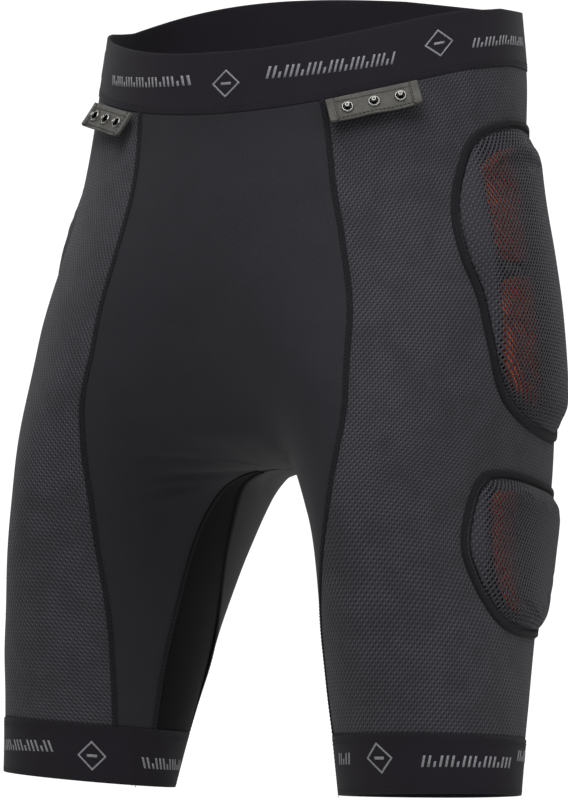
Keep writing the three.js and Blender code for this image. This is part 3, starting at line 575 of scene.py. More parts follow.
def cover_height(share, thickness):
    """Height of a pocket cover's underside: full in the middle, down to its edge on a quarter cosine."""
    fall = np.clip((share - COVER_SHOULDER) / (1 - COVER_SHOULDER), 0, 1)
    return PAD_BASE + (thickness + COVER_LIFT) * np.cos(fall * np.pi / 2)


# ---- Finishes -----------------------------------------------------------------------------------------


def linear(colour):
    """Linear colour, with alpha, of an sRGB hex value."""
    parts = np.array([int(colour[i:i + 2], 16) for i in (0, 2, 4)]) / 255
    low = parts <= 0.04045
    return tuple(np.where(low, parts / 12.92, ((parts + 0.055) / 1.055) ** 2.4)) + (1.0,)


def node(tree, kind, inputs=None, **settings):
    """Adds a node, with its settings, and its sockets set or linked."""
    made = tree.nodes.new(kind)
    for key, value in settings.items():
        setattr(made, key, value)
    for key, value in (inputs or {}).items():
        if isinstance(value, bpy.types.NodeSocket):
            tree.links.new(value, made.inputs[key])
        else:
            made.inputs[key].default_value = value
    return made


def calc(tree, operation, *values):
    return node(tree, "ShaderNodeMath", dict(enumerate(values)), operation=operation).outputs[0]


def ramp(tree, value, low, high, dark=0.0, light=1.0):
    """Takes value from low..high to dark..light along a soft step."""
    made = node(tree, "ShaderNodeMapRange",
                {"Value": value, "From Min": low, "From Max": high, "To Min": dark, "To Max": light},
                interpolation_type="SMOOTHSTEP")
    return made.outputs[0]


def blend_colours(tree, share, first, second):
    made = node(tree, "ShaderNodeMix", data_type="RGBA")
    for socket, value in (("Factor_Float", share), ("A_Color", first), ("B_Color", second)):
        entry = next(i for i in made.inputs if i.identifier == socket)
        if isinstance(value, bpy.types.NodeSocket):
            tree.links.new(value, entry)
        else:
            entry.default_value = value
    return next(o for o in made.outputs if o.identifier == "Result_Color")


def cloth_spot(tree):
    """The two millimetre lengths that a piece's UV map holds: round the body, and down it."""
    parts = node(tree, "ShaderNodeSeparateXYZ", {0: node(tree, "ShaderNodeUVMap").outputs[0]})
    return parts.outputs[0], parts.outputs[1]


def gratings(tree, across, fall):
    """Two crossed diagonal gratings from -1 to 1, whose crossings are across and fall millimetres apart
    with every other row shifted by half."""
    u, v = cloth_spot(tree)
    u, v = calc(tree, "MULTIPLY", u, 2 * math.pi / across), calc(tree, "MULTIPLY", v, 2 * math.pi / fall)
    return (calc(tree, "COSINE", calc(tree, "ADD", u, v)), calc(tree, "COSINE", calc(tree, "SUBTRACT", u, v)))


def speckle(tree, size, detail=2.0):
    """Noise from 0 to 1 whose grains are size millimetres across, fixed to the piece."""
    spot = node(tree, "ShaderNodeTexCoord").outputs["Object"]
    noise = node(tree, "ShaderNodeTexNoise", {"Vector": spot, "Scale": 1 / (size * MM), "Detail": detail})
    return noise.outputs[0]


def bump(tree, height, distance, strength=1.0):
    """Relief of distance millimetres."""
    dent = node(tree, "ShaderNodeBump", {"Height": height, "Distance": distance * MM, "Strength": strength})
    return dent.outputs[0]


def start_material(name, **sockets):
    """A material holding one Principled shader with the given fixed sockets; returns all three."""
    made = bpy.data.materials.new(name)
    made.use_nodes = True
    shader = made.node_tree.nodes["Principled BSDF"]
    for key, value in sockets.items():
        shader.inputs[key.replace("_", " ")].default_value = value
    return made, made.node_tree, shader


def shade(tree, shader, **sources):
    for key, value in sources.items():
        tree.links.new(value, shader.inputs[key.replace("_", " ")])


def tinted(key, share=1.0):
    """One of the colours that can be set, darkened or lightened by a share."""
    colour = getattr(bpy.context.scene.shorts_colours, key)
    return tuple(min(c * share, 1.0) for c in colour[:3]) + (1.0,)


def knitted(name, colour, thread, across, fall, depth, roughness, sheen, painted_highlight=None):
    """A knit drawn as crossed gratings: dark pits between raised threads, and where a highlight colour is
    given,
    painted highlights: short slanted light marks for threads that would catch the light."""
    made, tree, shader = start_material(name, Roughness=roughness, Sheen_Weight=sheen, Sheen_Roughness=0.5,
                                        Specular_IOR_Level=0.12)
    rising, falling = gratings(tree, across, fall)
    pits = calc(tree, "MULTIPLY", calc(tree, "ADD", rising, falling), 0.5)
    base = blend_colours(tree, ramp(tree, pits, 0.1, 0.75), thread, colour)
    if painted_highlight is not None:
        # painted highlight: slanted marks in the highlight colour, laid over the knit where threads would
        # catch the light
        slant = calc(tree, "MULTIPLY", ramp(tree, rising, -0.45, -0.9), ramp(tree, falling, -0.1, 0.7))
        base = blend_colours(tree, slant, base, painted_highlight)
    patchy = ramp(tree, speckle(tree, 18, 4), 0.35, 0.65, 0.0, 0.3)
    base = blend_colours(tree, patchy, base, colour)
    shade(tree, shader, Base_Color=base, Normal=bump(tree, calc(tree, "MULTIPLY", pits, -0.5), depth))
    return made


def spacer_mesh():
    """Polyester spacer mesh, warp knitted: staggered pits in a honeycomb of threads. Real pitch 3.4 mm."""
    # the mesh colour lightened 2.2 times is a painted highlight on the slanted threads
    return knitted("polyester_spacer_mesh", tinted("mesh", 0.45), tinted("mesh"), 3.4, 4.6, 0.5, 0.85, 0.06,
                   tinted("mesh", 2.2))


def tricot():
    """Nylon and elastane tricot: a smooth close knit with a soft sheen. Its real 0.5 mm wales are drawn
    1.2 mm apart, because finer ones would not show."""
    return knitted("nylon_elastane_tricot", tinted("stretch", 0.75), tinted("stretch"),
                   1.2, 1.7, 0.06, 0.7, 0.08)


def brushed_tricot():
    """Brushed stretch lining cloth, nearly black and quite matt."""
    return knitted("brushed_tricot", tinted("inner", 0.6), tinted("inner"), 1.3, 2.0, 0.1, 0.85, 0.02)


def band_elastic():
    """Polyester elastic webbing: matt, close woven, its 1.3 mm rows just seen."""
    return knitted("polyester_elastic_webbing", tinted("band", 0.7), tinted("band"),
                   1.3, 1.3, 0.06, 0.85, 0.05)


def cuff_elastic():
    """Softer elastic webbing of the leg cuffs."""
    return knitted("cuff_elastic_webbing", tinted("band", 0.6), tinted("band", 0.9),
                   1.5, 1.5, 0.08, 0.85, 0.05)


def pocket_net():
    """Open polyester net over the pads, in the same 3.4 mm knit as the side mesh. Its holes show what lies
    behind, and stand widest where the net is drawn tight over the front of a pad."""
    made, tree, shader = start_material("polyester_pocket_net", Roughness=0.85, Sheen_Weight=0.05,
                                        Specular_IOR_Level=0.12)
    rising, falling = gratings(tree, 3.4, 4.6)
    pits = calc(tree, "MULTIPLY", calc(tree, "ADD", rising, falling), 0.5)
    along, _ = cloth_spot(tree)
    tight = calc(tree, "ADD", ramp(tree, along, -13, -5, -0.5, 0.33), ramp(tree, along, 14, 76, 0.0, -0.8))
    # painted highlight: slanted marks in the mesh colour lightened twice over, where threads would catch the
    # light
    slant = calc(tree, "MULTIPLY", ramp(tree, rising, -0.45, -0.9), ramp(tree, falling, -0.1, 0.7))
    base = blend_colours(tree, slant, tinted("mesh", 0.85), tinted("mesh", 2.0))
    solid = ramp(tree, calc(tree, "ADD", pits, tight), 0.3, 0.5, 1.0, 0.0)
    shade(tree, shader, Base_Color=base, Alpha=solid,
          Normal=bump(tree, calc(tree, "MULTIPLY", pits, -0.5), 0.4))
    return made


def eva_foam():
    """Closed-cell EVA foam, skinned: a soft matt orange with fine pores of about 1 mm."""
    made, tree, shader = start_material("eva_foam", Roughness=0.75, Specular_IOR_Level=0.2)
    pores = speckle(tree, 1.1, 3)
    base = blend_colours(tree, ramp(tree, pores, 0.3, 0.7), tinted("foam", 0.8), tinted("foam"))
    shade(tree, shader, Base_Color=base, Normal=bump(tree, pores, 0.2, 0.5))
    return made


def seam_tape():
    """Flatlock seam and binding tape: spun polyester, dark, with a fine twill grain of 1.6 mm."""
    return knitted("polyester_seam_tape", tinted("edge", 0.7), tinted("edge"), 1.6, 1.6, 0.1, 0.85, 0.04)


def thread():
    """Textured polyester sewing thread, charcoal with a faint lustre."""
    made, tree, shader = start_material("polyester_thread", Roughness=0.7, Specular_IOR_Level=0.2)
    base = blend_colours(tree, speckle(tree, 1.5), tinted("thread", 0.7), tinted("thread", 1.2))
    shade(tree, shader, Base_Color=base)
    return made


def print_ink():
    """Matt heat-transfer ink, mid grey, a little worn by stretching."""
    made, tree, shader = start_material("heat_transfer_ink", Roughness=0.7, Specular_IOR_Level=0.2)
    worn = ramp(tree, speckle(tree, 1.2), 0.35, 0.65)
    base = blend_colours(tree, worn, tinted("ink", 0.75), tinted("ink"))
    shade(tree, shader, Base_Color=base)
    return made


def coated_tape():
    """Polyester snap tape with a thin polyurethane coat: olive grey, plain woven at 1.4 mm."""
    made, tree, shader = start_material("coated_polyester_tape", Roughness=0.6, Specular_IOR_Level=0.25)
    rising, falling = gratings(tree, 2.0, 1.4)
    weave = calc(tree, "MULTIPLY", rising, falling)
    worn = ramp(tree, speckle(tree, 7, 4), 0.35, 0.7)
    base = blend_colours(tree, worn, tinted("tape", 0.8), tinted("tape", 1.1))
    shade(tree, shader, Base_Color=base, Normal=bump(tree, weave, 0.08))
    return made


def nickel():
    """Nickel-plated brass, stamped and tumbled: bright on the rim and dulled by fine wear, with painted
    shade, a near-black colour, in the well between the post and the rim. A stud's UV holds radius and height
    in millimetres."""
    made, tree, shader = start_material("nickel_plated_brass", Metallic=1.0)
    radius, height = cloth_spot(tree)
    # painted shade: near black within 2.9 mm of the axis and below 1.9 mm height, in the shaded well of the
    # stud
    painted_well_shade = calc(tree, "MULTIPLY", ramp(tree, radius, 2.9, 3.15, 1.0, 0.0),
                ramp(tree, height, 1.9, 2.9, 1.0, 0.0))
    worn = speckle(tree, 1.6, 4)
    # the dark colour here is painted shade in the well; the rest keeps the plain nickel colour
    base = blend_colours(tree, painted_well_shade, linear("8f8e8b"), linear("202021"))
    shade(tree, shader, Base_Color=base, Roughness=ramp(tree, worn, 0.3, 0.7, 0.2, 0.38),
          Normal=bump(tree, worn, 0.04))
    return made


def silicone():
    """Cast silicone beads: dark, smooth and slightly glossy."""
    made, tree, shader = start_material("silicone_rubber", Roughness=0.35, Specular_IOR_Level=0.4)
    base = blend_colours(tree, speckle(tree, 4), linear("1c1c1e"), linear("252527"))
    shade(tree, shader, Base_Color=base)
    return made


FINISHES = {
    "mesh_fabric": spacer_mesh, "stretch_fabric": tricot, "inner_fabric": brushed_tricot,
    "band_fabric": band_elastic, "cuff_fabric": cuff_elastic, "net": pocket_net, "foam": eva_foam,
    "binding": seam_tape, "thread": thread, "print": print_ink, "tape": coated_tape, "stud_metal": nickel,
    "silicone": silicone,
}
# materials made so far, one for each finish key
USED = {}


def finish(key):
    if key not in USED:
        USED[key] = FINISHES[key]()
    return USED[key]


def sew(name, part, key, body_name="shorts", stands_for=()):
    """Makes a piece from (points, faces, uv) with its finish, and puts it on its body."""
    points, faces, uv = part
    obj = make_mesh(name, points, faces, uv, finish(key))
    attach(obj, body_name)
    if stands_for:
        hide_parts(*stands_for)
    return obj


# ---- Panels -------------------------------------------------------------------------------------------


def panel_levels():
    """Levels of the rows of the long panels, 3 mm apart and crowding together at the crotch."""
    step, near, crowd = 3.0, 12.0, 9
    share = np.arange(1, crowd + 1) / crowd
    above = np.linspace(BAND_HEIGHT, CROTCH - near, int((CROTCH - near - BAND_HEIGHT) / step))
    below = np.linspace(CROTCH + near, CUFF_TOP, int((CUFF_TOP - CROTCH - near) / step))
    return np.concatenate([above, CROTCH - near * (1 - share) ** 2, CROTCH + near * share ** 2, below[1:]])


LEVELS = panel_levels()


def cloth_part(side, levels, angles, arcs):
    points, normals = body(angles, levels[:, None], PANEL, side)
    faces = outward(points, quads(*angles.shape), normals)
    uv = np.stack([arcs, np.broadcast_to(levels[:, None], arcs.shape)], -1)
    return points.reshape(-1, 3), faces, uv.reshape(-1, 2)


def panel_part(side, start, end, columns, reference):
    angles, arcs = even_rows(LEVELS, start, end, columns, reference)
    return cloth_part(side, LEVELS, angles, arcs)


def flat_facts(part):
    """Flat width, length and area in metres of the cloth that a part was cut from: what the part
    measures, let in by the 8 per cent that worn stretch cloth gives."""
    stretch = 1.08
    points, faces, uv = part
    p = points[faces]
    area = 0.5 * np.linalg.norm(np.cross(p[:, 2] - p[:, 0], p[:, 3] - p[:, 1]), axis=1).sum() * MM * MM
    width, length = (uv.max(0) - uv.min(0)) * MM
    area /= stretch
    scale = math.sqrt(max(area / (width * length), 1.0)) if area > width * length else 1.0
    width, length = width * scale, length * scale
    return (width, length), min(max(area, 0.31 * width * length), width * length)


def lay_sheet(obj, part):
    flat, area = flat_facts(part)
    return obj


def front_start(side):
    return np.where(LEVELS <= CROTCH, middle_angle(LEVELS), inner_front(LEVELS))


def seat_end(side):
    return np.where(LEVELS <= CROTCH, 180 - middle_angle(LEVELS), inner_back(LEVELS))


def sew_panels():
    """Front and seat, each of two halves that meet at the middle, the two side meshes and the two inner
    thigh panels: grids on the body between seam angles and levels, thickened inwards."""
    front = join_parts([panel_part(side, front_start(side), front_seam(LEVELS, side), 60,
                                   front_seam(LEVELS, side))
                        for _, side in SIDES])
    seat = join_parts([panel_part(side, back_seam(LEVELS), seat_end(side), 56, back_seam(LEVELS))
                       for _, side in SIDES])
    for name, part, node_name in (("front_sheet", front, "front_panel"), ("seat_sheet", seat, "seat_panel")):
        obj = sew(name, part, "stretch_fabric", stands_for=[node_name])
        lay_sheet(thicken(obj, PANEL), part)
    for label, side in SIDES:
        reference = np.full(len(LEVELS), 80.0)
        part = panel_part(side, front_seam(LEVELS, side), back_seam(LEVELS), 96, reference)
        obj = sew(f"side_mesh_{label}", part, "mesh_fabric", stands_for=[f"side_panel_{label}"])
        lay_sheet(thicken(obj, PANEL), part)
        lower = LEVELS[LEVELS > CROTCH + 0.5][:, None]
        share = np.linspace(0, 1, 19)
        start, end = inner_back(lower) - 360, inner_front(lower)
        angles = start + (end - start) * share
        part = cloth_part(side, lower[:, 0], angles, arc_spot(angles, lower + 0 * angles, -90.0))
        obj = sew(f"inner_thigh_{label}", part, "inner_fabric", stands_for=[f"inner_thigh_panel_{label}"])
        lay_sheet(thicken(obj, PANEL), part)


# ---- Seams --------------------------------------------------------------------------------------------


def seam_paths(side):
    """Every seam down one side: its name, angles and levels."""
    upper = LEVELS
    lower = LEVELS[LEVELS > CROTCH + 2]
    return (
        ("front", front_seam(upper, side), upper),
        ("back", back_seam(upper), upper),
        ("inner_front", inner_front(lower), lower),
        ("inner_back", inner_back(lower), lower),
    )


def stitches(path, normals, pitch, rows, length, thickness, lift, slant=0.0):
    """Rows of threads beside a path: one every pitch, at each of the rows' distances from it, turned by
    slant degrees from the way of the path."""
    point, normal, ahead = even_path(path, normals, pitch)
    across = np.cross(normal, ahead)
    parts = []
    for i, row in enumerate(rows):
        shift = point + across * row + ahead * (pitch * 0.5 * (i % 2))
        turn = math.radians(slant if i % 2 else -slant)
        way = ahead * math.cos(turn) + across * math.sin(turn)
        parts.append(dashes(shift, way, normal, length, thickness, lift))
    return join_parts(parts)


def sew_seams(width, height, pitch):
    """Flatlock seams: a low arched strip carried down each seam, with slanted threads over it."""
    for label, side in SIDES:
        strips, threads = [], []
        for _, angle, level in seam_paths(side):
            path, normals = body(angle, level, PANEL, side)
            path, normals, _ = even_path(path, normals, 2.5)
            strips.append(carry(path, normals, dome(width, height)))
            threads.append(stitches(path, normals, pitch, (-0.3 * width, 0.3 * width), pitch * 0.86, 0.55,
                                    height * 0.84, 24))
            threads.append(stitches(path, normals, pitch, (0.0,), pitch * 0.6, 0.5, height * 0.97, 60))
        sew(f"flatlock_seams_{label}", join_parts(strips), "binding")
        sew(f"flatlock_threads_{label}", join_parts(threads), "thread")


# ---- Waistband ----------------------------------------------------------------------------------------


def hoop_angles(share, level):
    """Angles at shares from 0 to 1 of the way from the middle of the front to the middle of the back,
    or on a leg once round from the inseam."""
    start = middle_angle(level)
    return start + (180 - 2 * start) * share


def hoop_part(share, sides, profile):
    """A closed profile of (level, offset) points carried round the body."""
    level, offset = profile[:, :1], profile[:, 1:]
    points, _ = body(hoop_angles(share[None], level), level, offset, sides[None], cloth=False)
    faces = quads(len(profile), len(share), wrap_rows=True, wrap_columns=True)
    faces = outward(points, faces, points - points.mean(0, keepdims=True))
    step = np.linalg.norm(np.diff(points[0], axis=0), axis=1)
    arc = np.concatenate([[0], np.cumsum(step)])
    drop = np.concatenate([[0], np.cumsum(np.linalg.norm(np.diff(profile, axis=0), axis=1))])
    uv = np.stack(np.broadcast_arrays(arc[None], drop[:, None]), -1)
    return points.reshape(-1, 3), faces, uv.reshape(-1, 2)


def band_profile(top, bottom, inner, outer, rows, lip=0.55):
    """Outer face down, inner face up, both ends rounded."""
    level = np.linspace(top + lip, bottom - lip, rows)
    outside = np.stack([level, np.full(rows, outer)], -1)
    inside = np.stack([level[::-1], np.full(rows, inner)], -1)
    middle, half = (inner + outer) / 2, (outer - inner) / 2
    bend = np.radians([62, 22, -22, -62])
    foot = np.stack([bottom - lip + lip * np.cos(bend), middle + half * np.sin(bend)], -1)
    head = np.stack([top + lip - lip * np.cos(bend), middle + half * np.sin(bend)], -1)[::-1]
    return np.concatenate([outside, foot, inside, head])


def waist_round(count):
    """Shares and sides once round the waist: from the front along the left side, then up the right."""
    share = np.arange(count) / count
    turn = np.where(share < 0.5, share * 2, 2 - share * 2)
    eased = 0.5 - 0.5 * np.cos(np.pi * turn)
    return 0.55 * turn + 0.45 * eased, np.where(share < 0.5, 1.0, -1.0)


def hoop_path(level, offset, share, sides):
    levels = np.full(len(share), level)
    return body(hoop_angles(share, levels), levels, offset, sides, cloth=False)


def plate(side, at, s, t, offset, middle=False):
    """Points s millimetres along and t down from at = (angle, level) on the side, or from
    (distance, level) across the middle plane."""
    level = at[1] + t
    if middle:
        return across_middle(at[0] + s, level, offset, back=False)[0]
    here, _ = body(at[0] - 0.5, at[1], 0.0, cloth=False)
    there, _ = body(at[0] + 0.5, at[1], 0.0, cloth=False)
    degrees = 1 / np.linalg.norm(there - here)
    return body(at[0] + s * degrees, level, offset, side, cloth=False)[0]


def raised(grid_points, low_points):
    """A closed plate from the grids of its upper and its lower face."""
    rows, columns = grid_points.shape[:2]
    count = rows * columns
    top = quads(rows, columns)
    edge = np.concatenate([np.arange(columns), np.arange(1, rows) * columns + columns - 1,
                           (rows - 1) * columns + np.arange(columns - 2, -1, -1),
                           np.arange(rows - 2, 0, -1) * columns])
    after = np.roll(edge, -1)
    wall = np.stack([edge, edge + count, after + count, after], -1)
    up = (grid_points - low_points).reshape(-1, 3)
    points = np.concatenate([grid_points.reshape(-1, 3), low_points.reshape(-1, 3)])
    p = points[top]
    if (np.cross(p[:, 2] - p[:, 0], p[:, 3] - p[:, 1]) * up[top[:, 0]]).sum() < 0:
        top, wall = top[:, ::-1], wall[:, ::-1]
    return points, np.concatenate([top, top[:, ::-1] + count, wall]), np.zeros((2 * count, 2))


def bar_row(side, start, end, height, base, slant=0.35):
    """A generic printed row of thin slanted bars of two lengths, from start to end = (angle, level)."""
    width, gap, bars = 1.5, 1.9, []
    middle = ((start[0] + end[0]) / 2, (start[1] + end[1]) / 2)
    ends = body(np.linspace(start[0], end[0], 40), np.linspace(start[1], end[1], 40), 0.0, cloth=False)[0]
    length = np.linalg.norm(np.diff(ends, axis=0), axis=1).sum()
    slope = (end[1] - start[1]) / length
    count = int(length / (width + gap))
    pitch = length / count
    for i in range(count):
        tall = 0.5 if i % 4 == 2 else 1.0
        s = -length / 2 + i * pitch + np.linspace(0, width, 3)[None, :]
        t = np.linspace(height / 2 - height * tall, height / 2, 4)[:, None]
        s, t = s - slant * t, t + slope * s
        bars.append(raised(plate(side, middle, s, t, base + 0.2), plate(side, middle, s, t, base - 0.1)))
    return join_parts(bars)


def badge(side, at, radius, base, middle=False):
    """A generic badge: a diamond frame round a small bar, from rings of a diamond's outline."""
    turn = np.linspace(0, 2 * np.pi, 65)
    reach = 1 / (np.abs(np.cos(turn)) + np.abs(np.sin(turn)))
    width = np.array([1.0, 0.84])[:, None] * radius
    s, t = width * reach * np.cos(turn), width * reach * np.sin(turn)
    ring = raised(plate(side, at, s, t, base + 0.3, middle), plate(side, at, s, t, base - 0.1, middle))
    s, t = np.linspace(-0.36, 0.36, 5)[None] * radius, np.linspace(-0.09, 0.09, 3)[:, None] * radius
    bar = raised(plate(side, at, s + 0 * t, t + 0 * s, base + 0.3, middle),
                 plate(side, at, s + 0 * t, t + 0 * s, base - 0.1, middle))
    return join_parts([ring, bar])


BAND_WALL = 1.8
FRONT_BADGE = 10.0              # how far the front badge sits to the left of the middle


def sew_waistband(pitch):
    """The elastic band as a hoop of one closed profile, its cover stitching and its generic print."""
    share, sides = waist_round(300)
    profile = band_profile(0, BAND_HEIGHT + 0.8, 0, BAND_WALL, 26)
    part = hoop_part(share, sides, profile)
    sew("waistband_elastic", part, "band_fabric", stands_for=["waistband"])
    rows = []
    for level in (BAND_HEIGHT - 4.4, BAND_HEIGHT - 2.4):
        path, normals = hoop_path(level, BAND_WALL, share, sides)
        point, normal, ahead = even_path(path, normals, pitch, closed=True)
        rows.append(dashes(point, ahead, normal, pitch * 0.8, 0.4, 0.0))
    sew("waistband_topstitch", join_parts(rows), "thread")
    prints = [
        bar_row(-1, (12.5, 20), (42.7, 27), 7.5, BAND_WALL), bar_row(1, (18, 19), (50, 26), 9, BAND_WALL),
        bar_row(1, (75, 26), (107, 24), 7.5, BAND_WALL), bar_row(-1, (75, 26), (107, 24), 7.5, BAND_WALL),
        badge(1, (FRONT_BADGE, 24), 10.5, BAND_WALL, middle=True),
        badge(1, (63, 22), 10.5, BAND_WALL), badge(-1, (63, 22), 10.5, BAND_WALL),
    ]
    sew("waistband_print", join_parts(prints), "print")


# ---- Pads and pockets ---------------------------------------------------------------------------------


def pads():
    """Each pad: its name, CAD nodes, foam outlines, pocket outline, thickness and placing function."""
    for label, side in SIDES:
        def on_side(u, v, offset, side=side):
            return body(u, v, offset, side)

        def turned_side(u, v, offset, side=side):
            return body(u + (0 if side > 0 else THIGH_TURN), v, offset, side)

        yield (f"hip_{label}", [("upper", HIP_FOAM_UPPER, f"hip_foam_upper_{label}"),
                                ("lower", HIP_FOAM_LOWER, f"hip_foam_lower_{label}")],
               HIP_POCKET, HIP_THICK, on_side, f"hip_pocket_cover_{label}",
               f"hip_pocket_binding_{label}", 2.6)
        yield (f"thigh_{label}", [("block", THIGH_FOAM, f"thigh_foam_{label}")],
               THIGH_POCKET, THIGH_THICK, turned_side, f"thigh_pocket_cover_{label}",
               f"thigh_pocket_binding_{label}", 1.2)
    yield ("tailbone", [("block", TAIL_FOAM, "tailbone_foam")], TAIL_POCKET, TAIL_THICK,
           across_middle, "tailbone_pocket_cover", "tailbone_pocket_binding", 1.0)


def pad_uv(u, v, scale):
    """UV in millimetres: on the sides the arc length from the 80 degree line, at the tailbone x itself."""
    along = u if scale == 1.0 else arc_spot(u, v)
    return np.stack([along, v], -1).reshape(-1, 2)


def foam_part(outline, pocket, thickness, place, scale):
    """A pad with a bevelled edge and crossed vent grooves 1.4 mm deep, kept under its cover."""
    u, v, share = patch(outline, 84)
    mm_u, mm_v = u * scale, v
    groove_pitch, groove_width = 24.0, 2.6
    grooves = 0.0
    for way in (1, -1):
        apart = np.abs((mm_u + way * mm_v) / math.sqrt(2) % groove_pitch - groove_pitch / 2)
        grooves = np.maximum(grooves, 1 - soft_step(apart / groove_width))
    room = cover_height(share_inside(pocket, u, v), thickness) - COVER_LIFT - PAD_BASE
    edge = thickness * (0.55 + 0.45 * soft_step((1 - share) / 0.06))
    top = PAD_BASE + np.maximum(np.minimum(edge, room), 0.4) - 1.4 * grooves * soft_step((1 - share) / 0.05)
    upper, _ = place(u, v, top)
    lower, _ = place(u, v, np.full(u.shape, PAD_BASE))
    points, faces, _ = raised(upper, lower)
    uv = pad_uv(u, v, scale)
    return points, faces, np.concatenate([uv, uv])


def cover_part(pocket, thickness, place, scale):
    u, v, share = patch(pocket, 72, 0.985)
    points, normals = place(u, v, cover_height(share * 0.985, thickness) + COVER_WALL)
    faces = outward(points, quads(*u.shape), normals)
    return (points.reshape(-1, 3), faces, pad_uv(u, v, scale)), share.ravel()


def bound_edge(pocket, place, scale, width, pitch):
    """Binding tape carried round a pocket's outline, just outside it, with two rows of threads."""
    count = 240
    middle = np.mean(np.asarray(pocket, float), axis=0)
    ring = smooth_ring(pocket, np.arange(count) / count)
    away = (ring - middle) * (scale, 1)
    away /= np.linalg.norm(away, axis=1, keepdims=True)
    spot = ring + away * (0.45 + width / 2) / np.array([scale, 1])
    path, normals = place(spot[:, 0], spot[:, 1], np.full(count, PANEL))
    path, normals, _ = even_path(path, normals, 2.2, closed=True)
    strip = carry(path, normals, dome(width + 0.8, 1.9), closed=True)
    point, normal, ahead = even_path(path, normals, pitch, closed=True)
    across = np.cross(normal, ahead)
    rows = [dashes(point + across * shift, ahead, normal, pitch * 0.8, 0.45, 1.9 * 0.93)
            for shift in (-0.26 * width, 0.26 * width)]
    return strip, join_parts(rows)


def puff(covers, pressure, limit):
    """Blows the pocket covers up as cloth sewn down at the edge. Each point keeps the outward share of its
    move, at most limit metres, so that no fold dips into the foam."""
    frames = 20
    for obj, share in covers:
        group = obj.vertex_groups.new(name="sewn_edge")
        held = np.clip((share - 0.9) / 0.08, 0, 1)
        for weight in (0.35, 1.0):
            chosen = np.where((held >= weight) if weight == 1.0 else (held > 0) & (held < 1))[0]
            group.add(chosen.tolist(), weight, "REPLACE")
        cloth = obj.modifiers.new("Cloth", "CLOTH")
        cloth.settings.quality = 5
        cloth.settings.mass = 0.12
        cloth.settings.tension_stiffness = 12
        cloth.settings.compression_stiffness = 8
        cloth.settings.bending_stiffness = 0.3
        cloth.settings.use_pressure = True
        cloth.settings.uniform_pressure_force = pressure
        cloth.settings.shrink_min = -0.015
        cloth.settings.vertex_group_mass = group.name
        cloth.settings.effector_weights.gravity = 0
        cloth.point_cache.frame_start, cloth.point_cache.frame_end = 1, frames
    scene = bpy.context.scene
    for step in range(1, frames + 1):
        scene.frame_set(step)
    graph = bpy.context.evaluated_depsgraph_get()
    for obj, _ in covers:
        count = len(obj.data.vertices)
        flat, blown, out = (np.empty(count * 3, np.float32) for _ in range(3))
        obj.data.vertices.foreach_get("co", flat)
        obj.evaluated_get(graph).data.vertices.foreach_get("co", blown)
        obj.data.vertex_normals.foreach_get("vector", out)
        out = out.reshape(-1, 3)
        rise_by = np.clip(((blown - flat).reshape(-1, 3) * out).sum(1, keepdims=True), 0, limit)
        obj.data.vertices.foreach_set("co", flat + (rise_by * out).ravel())
        obj.modifiers.remove(obj.modifiers["Cloth"])
        obj.data.update()
    scene.frame_set(1)


def sew_pads(width, pitch, pressure, limit):
    """Foam blocks, net covers blown up over them, and the bound edges that hold the covers down."""
    covers = []
    for name, foams, pocket, thickness, place, cover_node, edge_node, scale in pads():
        blocks = []
        for which, outline, foam_node in foams:
            part = foam_part(outline, pocket, thickness, place, scale)
            block = sew(f"{name}_foam_{which}", part, "foam", stands_for=[foam_node])
            blocks.append(block)
        part, share = cover_part(pocket, thickness, place, scale)
        cover = sew(f"{name}_net", part, "net", stands_for=[cover_node])
        rests_on = [f"{name}_foam_{which}" for which, *_ in foams]
        covers.append((cover, part, share_order(part, share), rests_on))
        strip, threads = bound_edge(pocket, place, scale, width, pitch)
        sew(f"{name}_bound_edge", strip, "binding", stands_for=[edge_node])
        sew(f"{name}_edge_threads", threads, "thread")
    puff([(cover, share) for cover, _, share, _ in covers], pressure, limit)
    for cover, part, _, rests_on in covers:
        lay_sheet(thicken(cover, COVER_WALL), part)


def share_order(part, share):
    """The shares in the order that make_mesh leaves the points in."""
    keys = np.round(part[0].reshape(-1, 3), 3) + 0.0
    _, first = np.unique(keys, axis=0, return_index=True)
    return share[first]


# ---- Leg cuffs ----------------------------------------------------------------------------------------

CUFF_WALL = 2.0


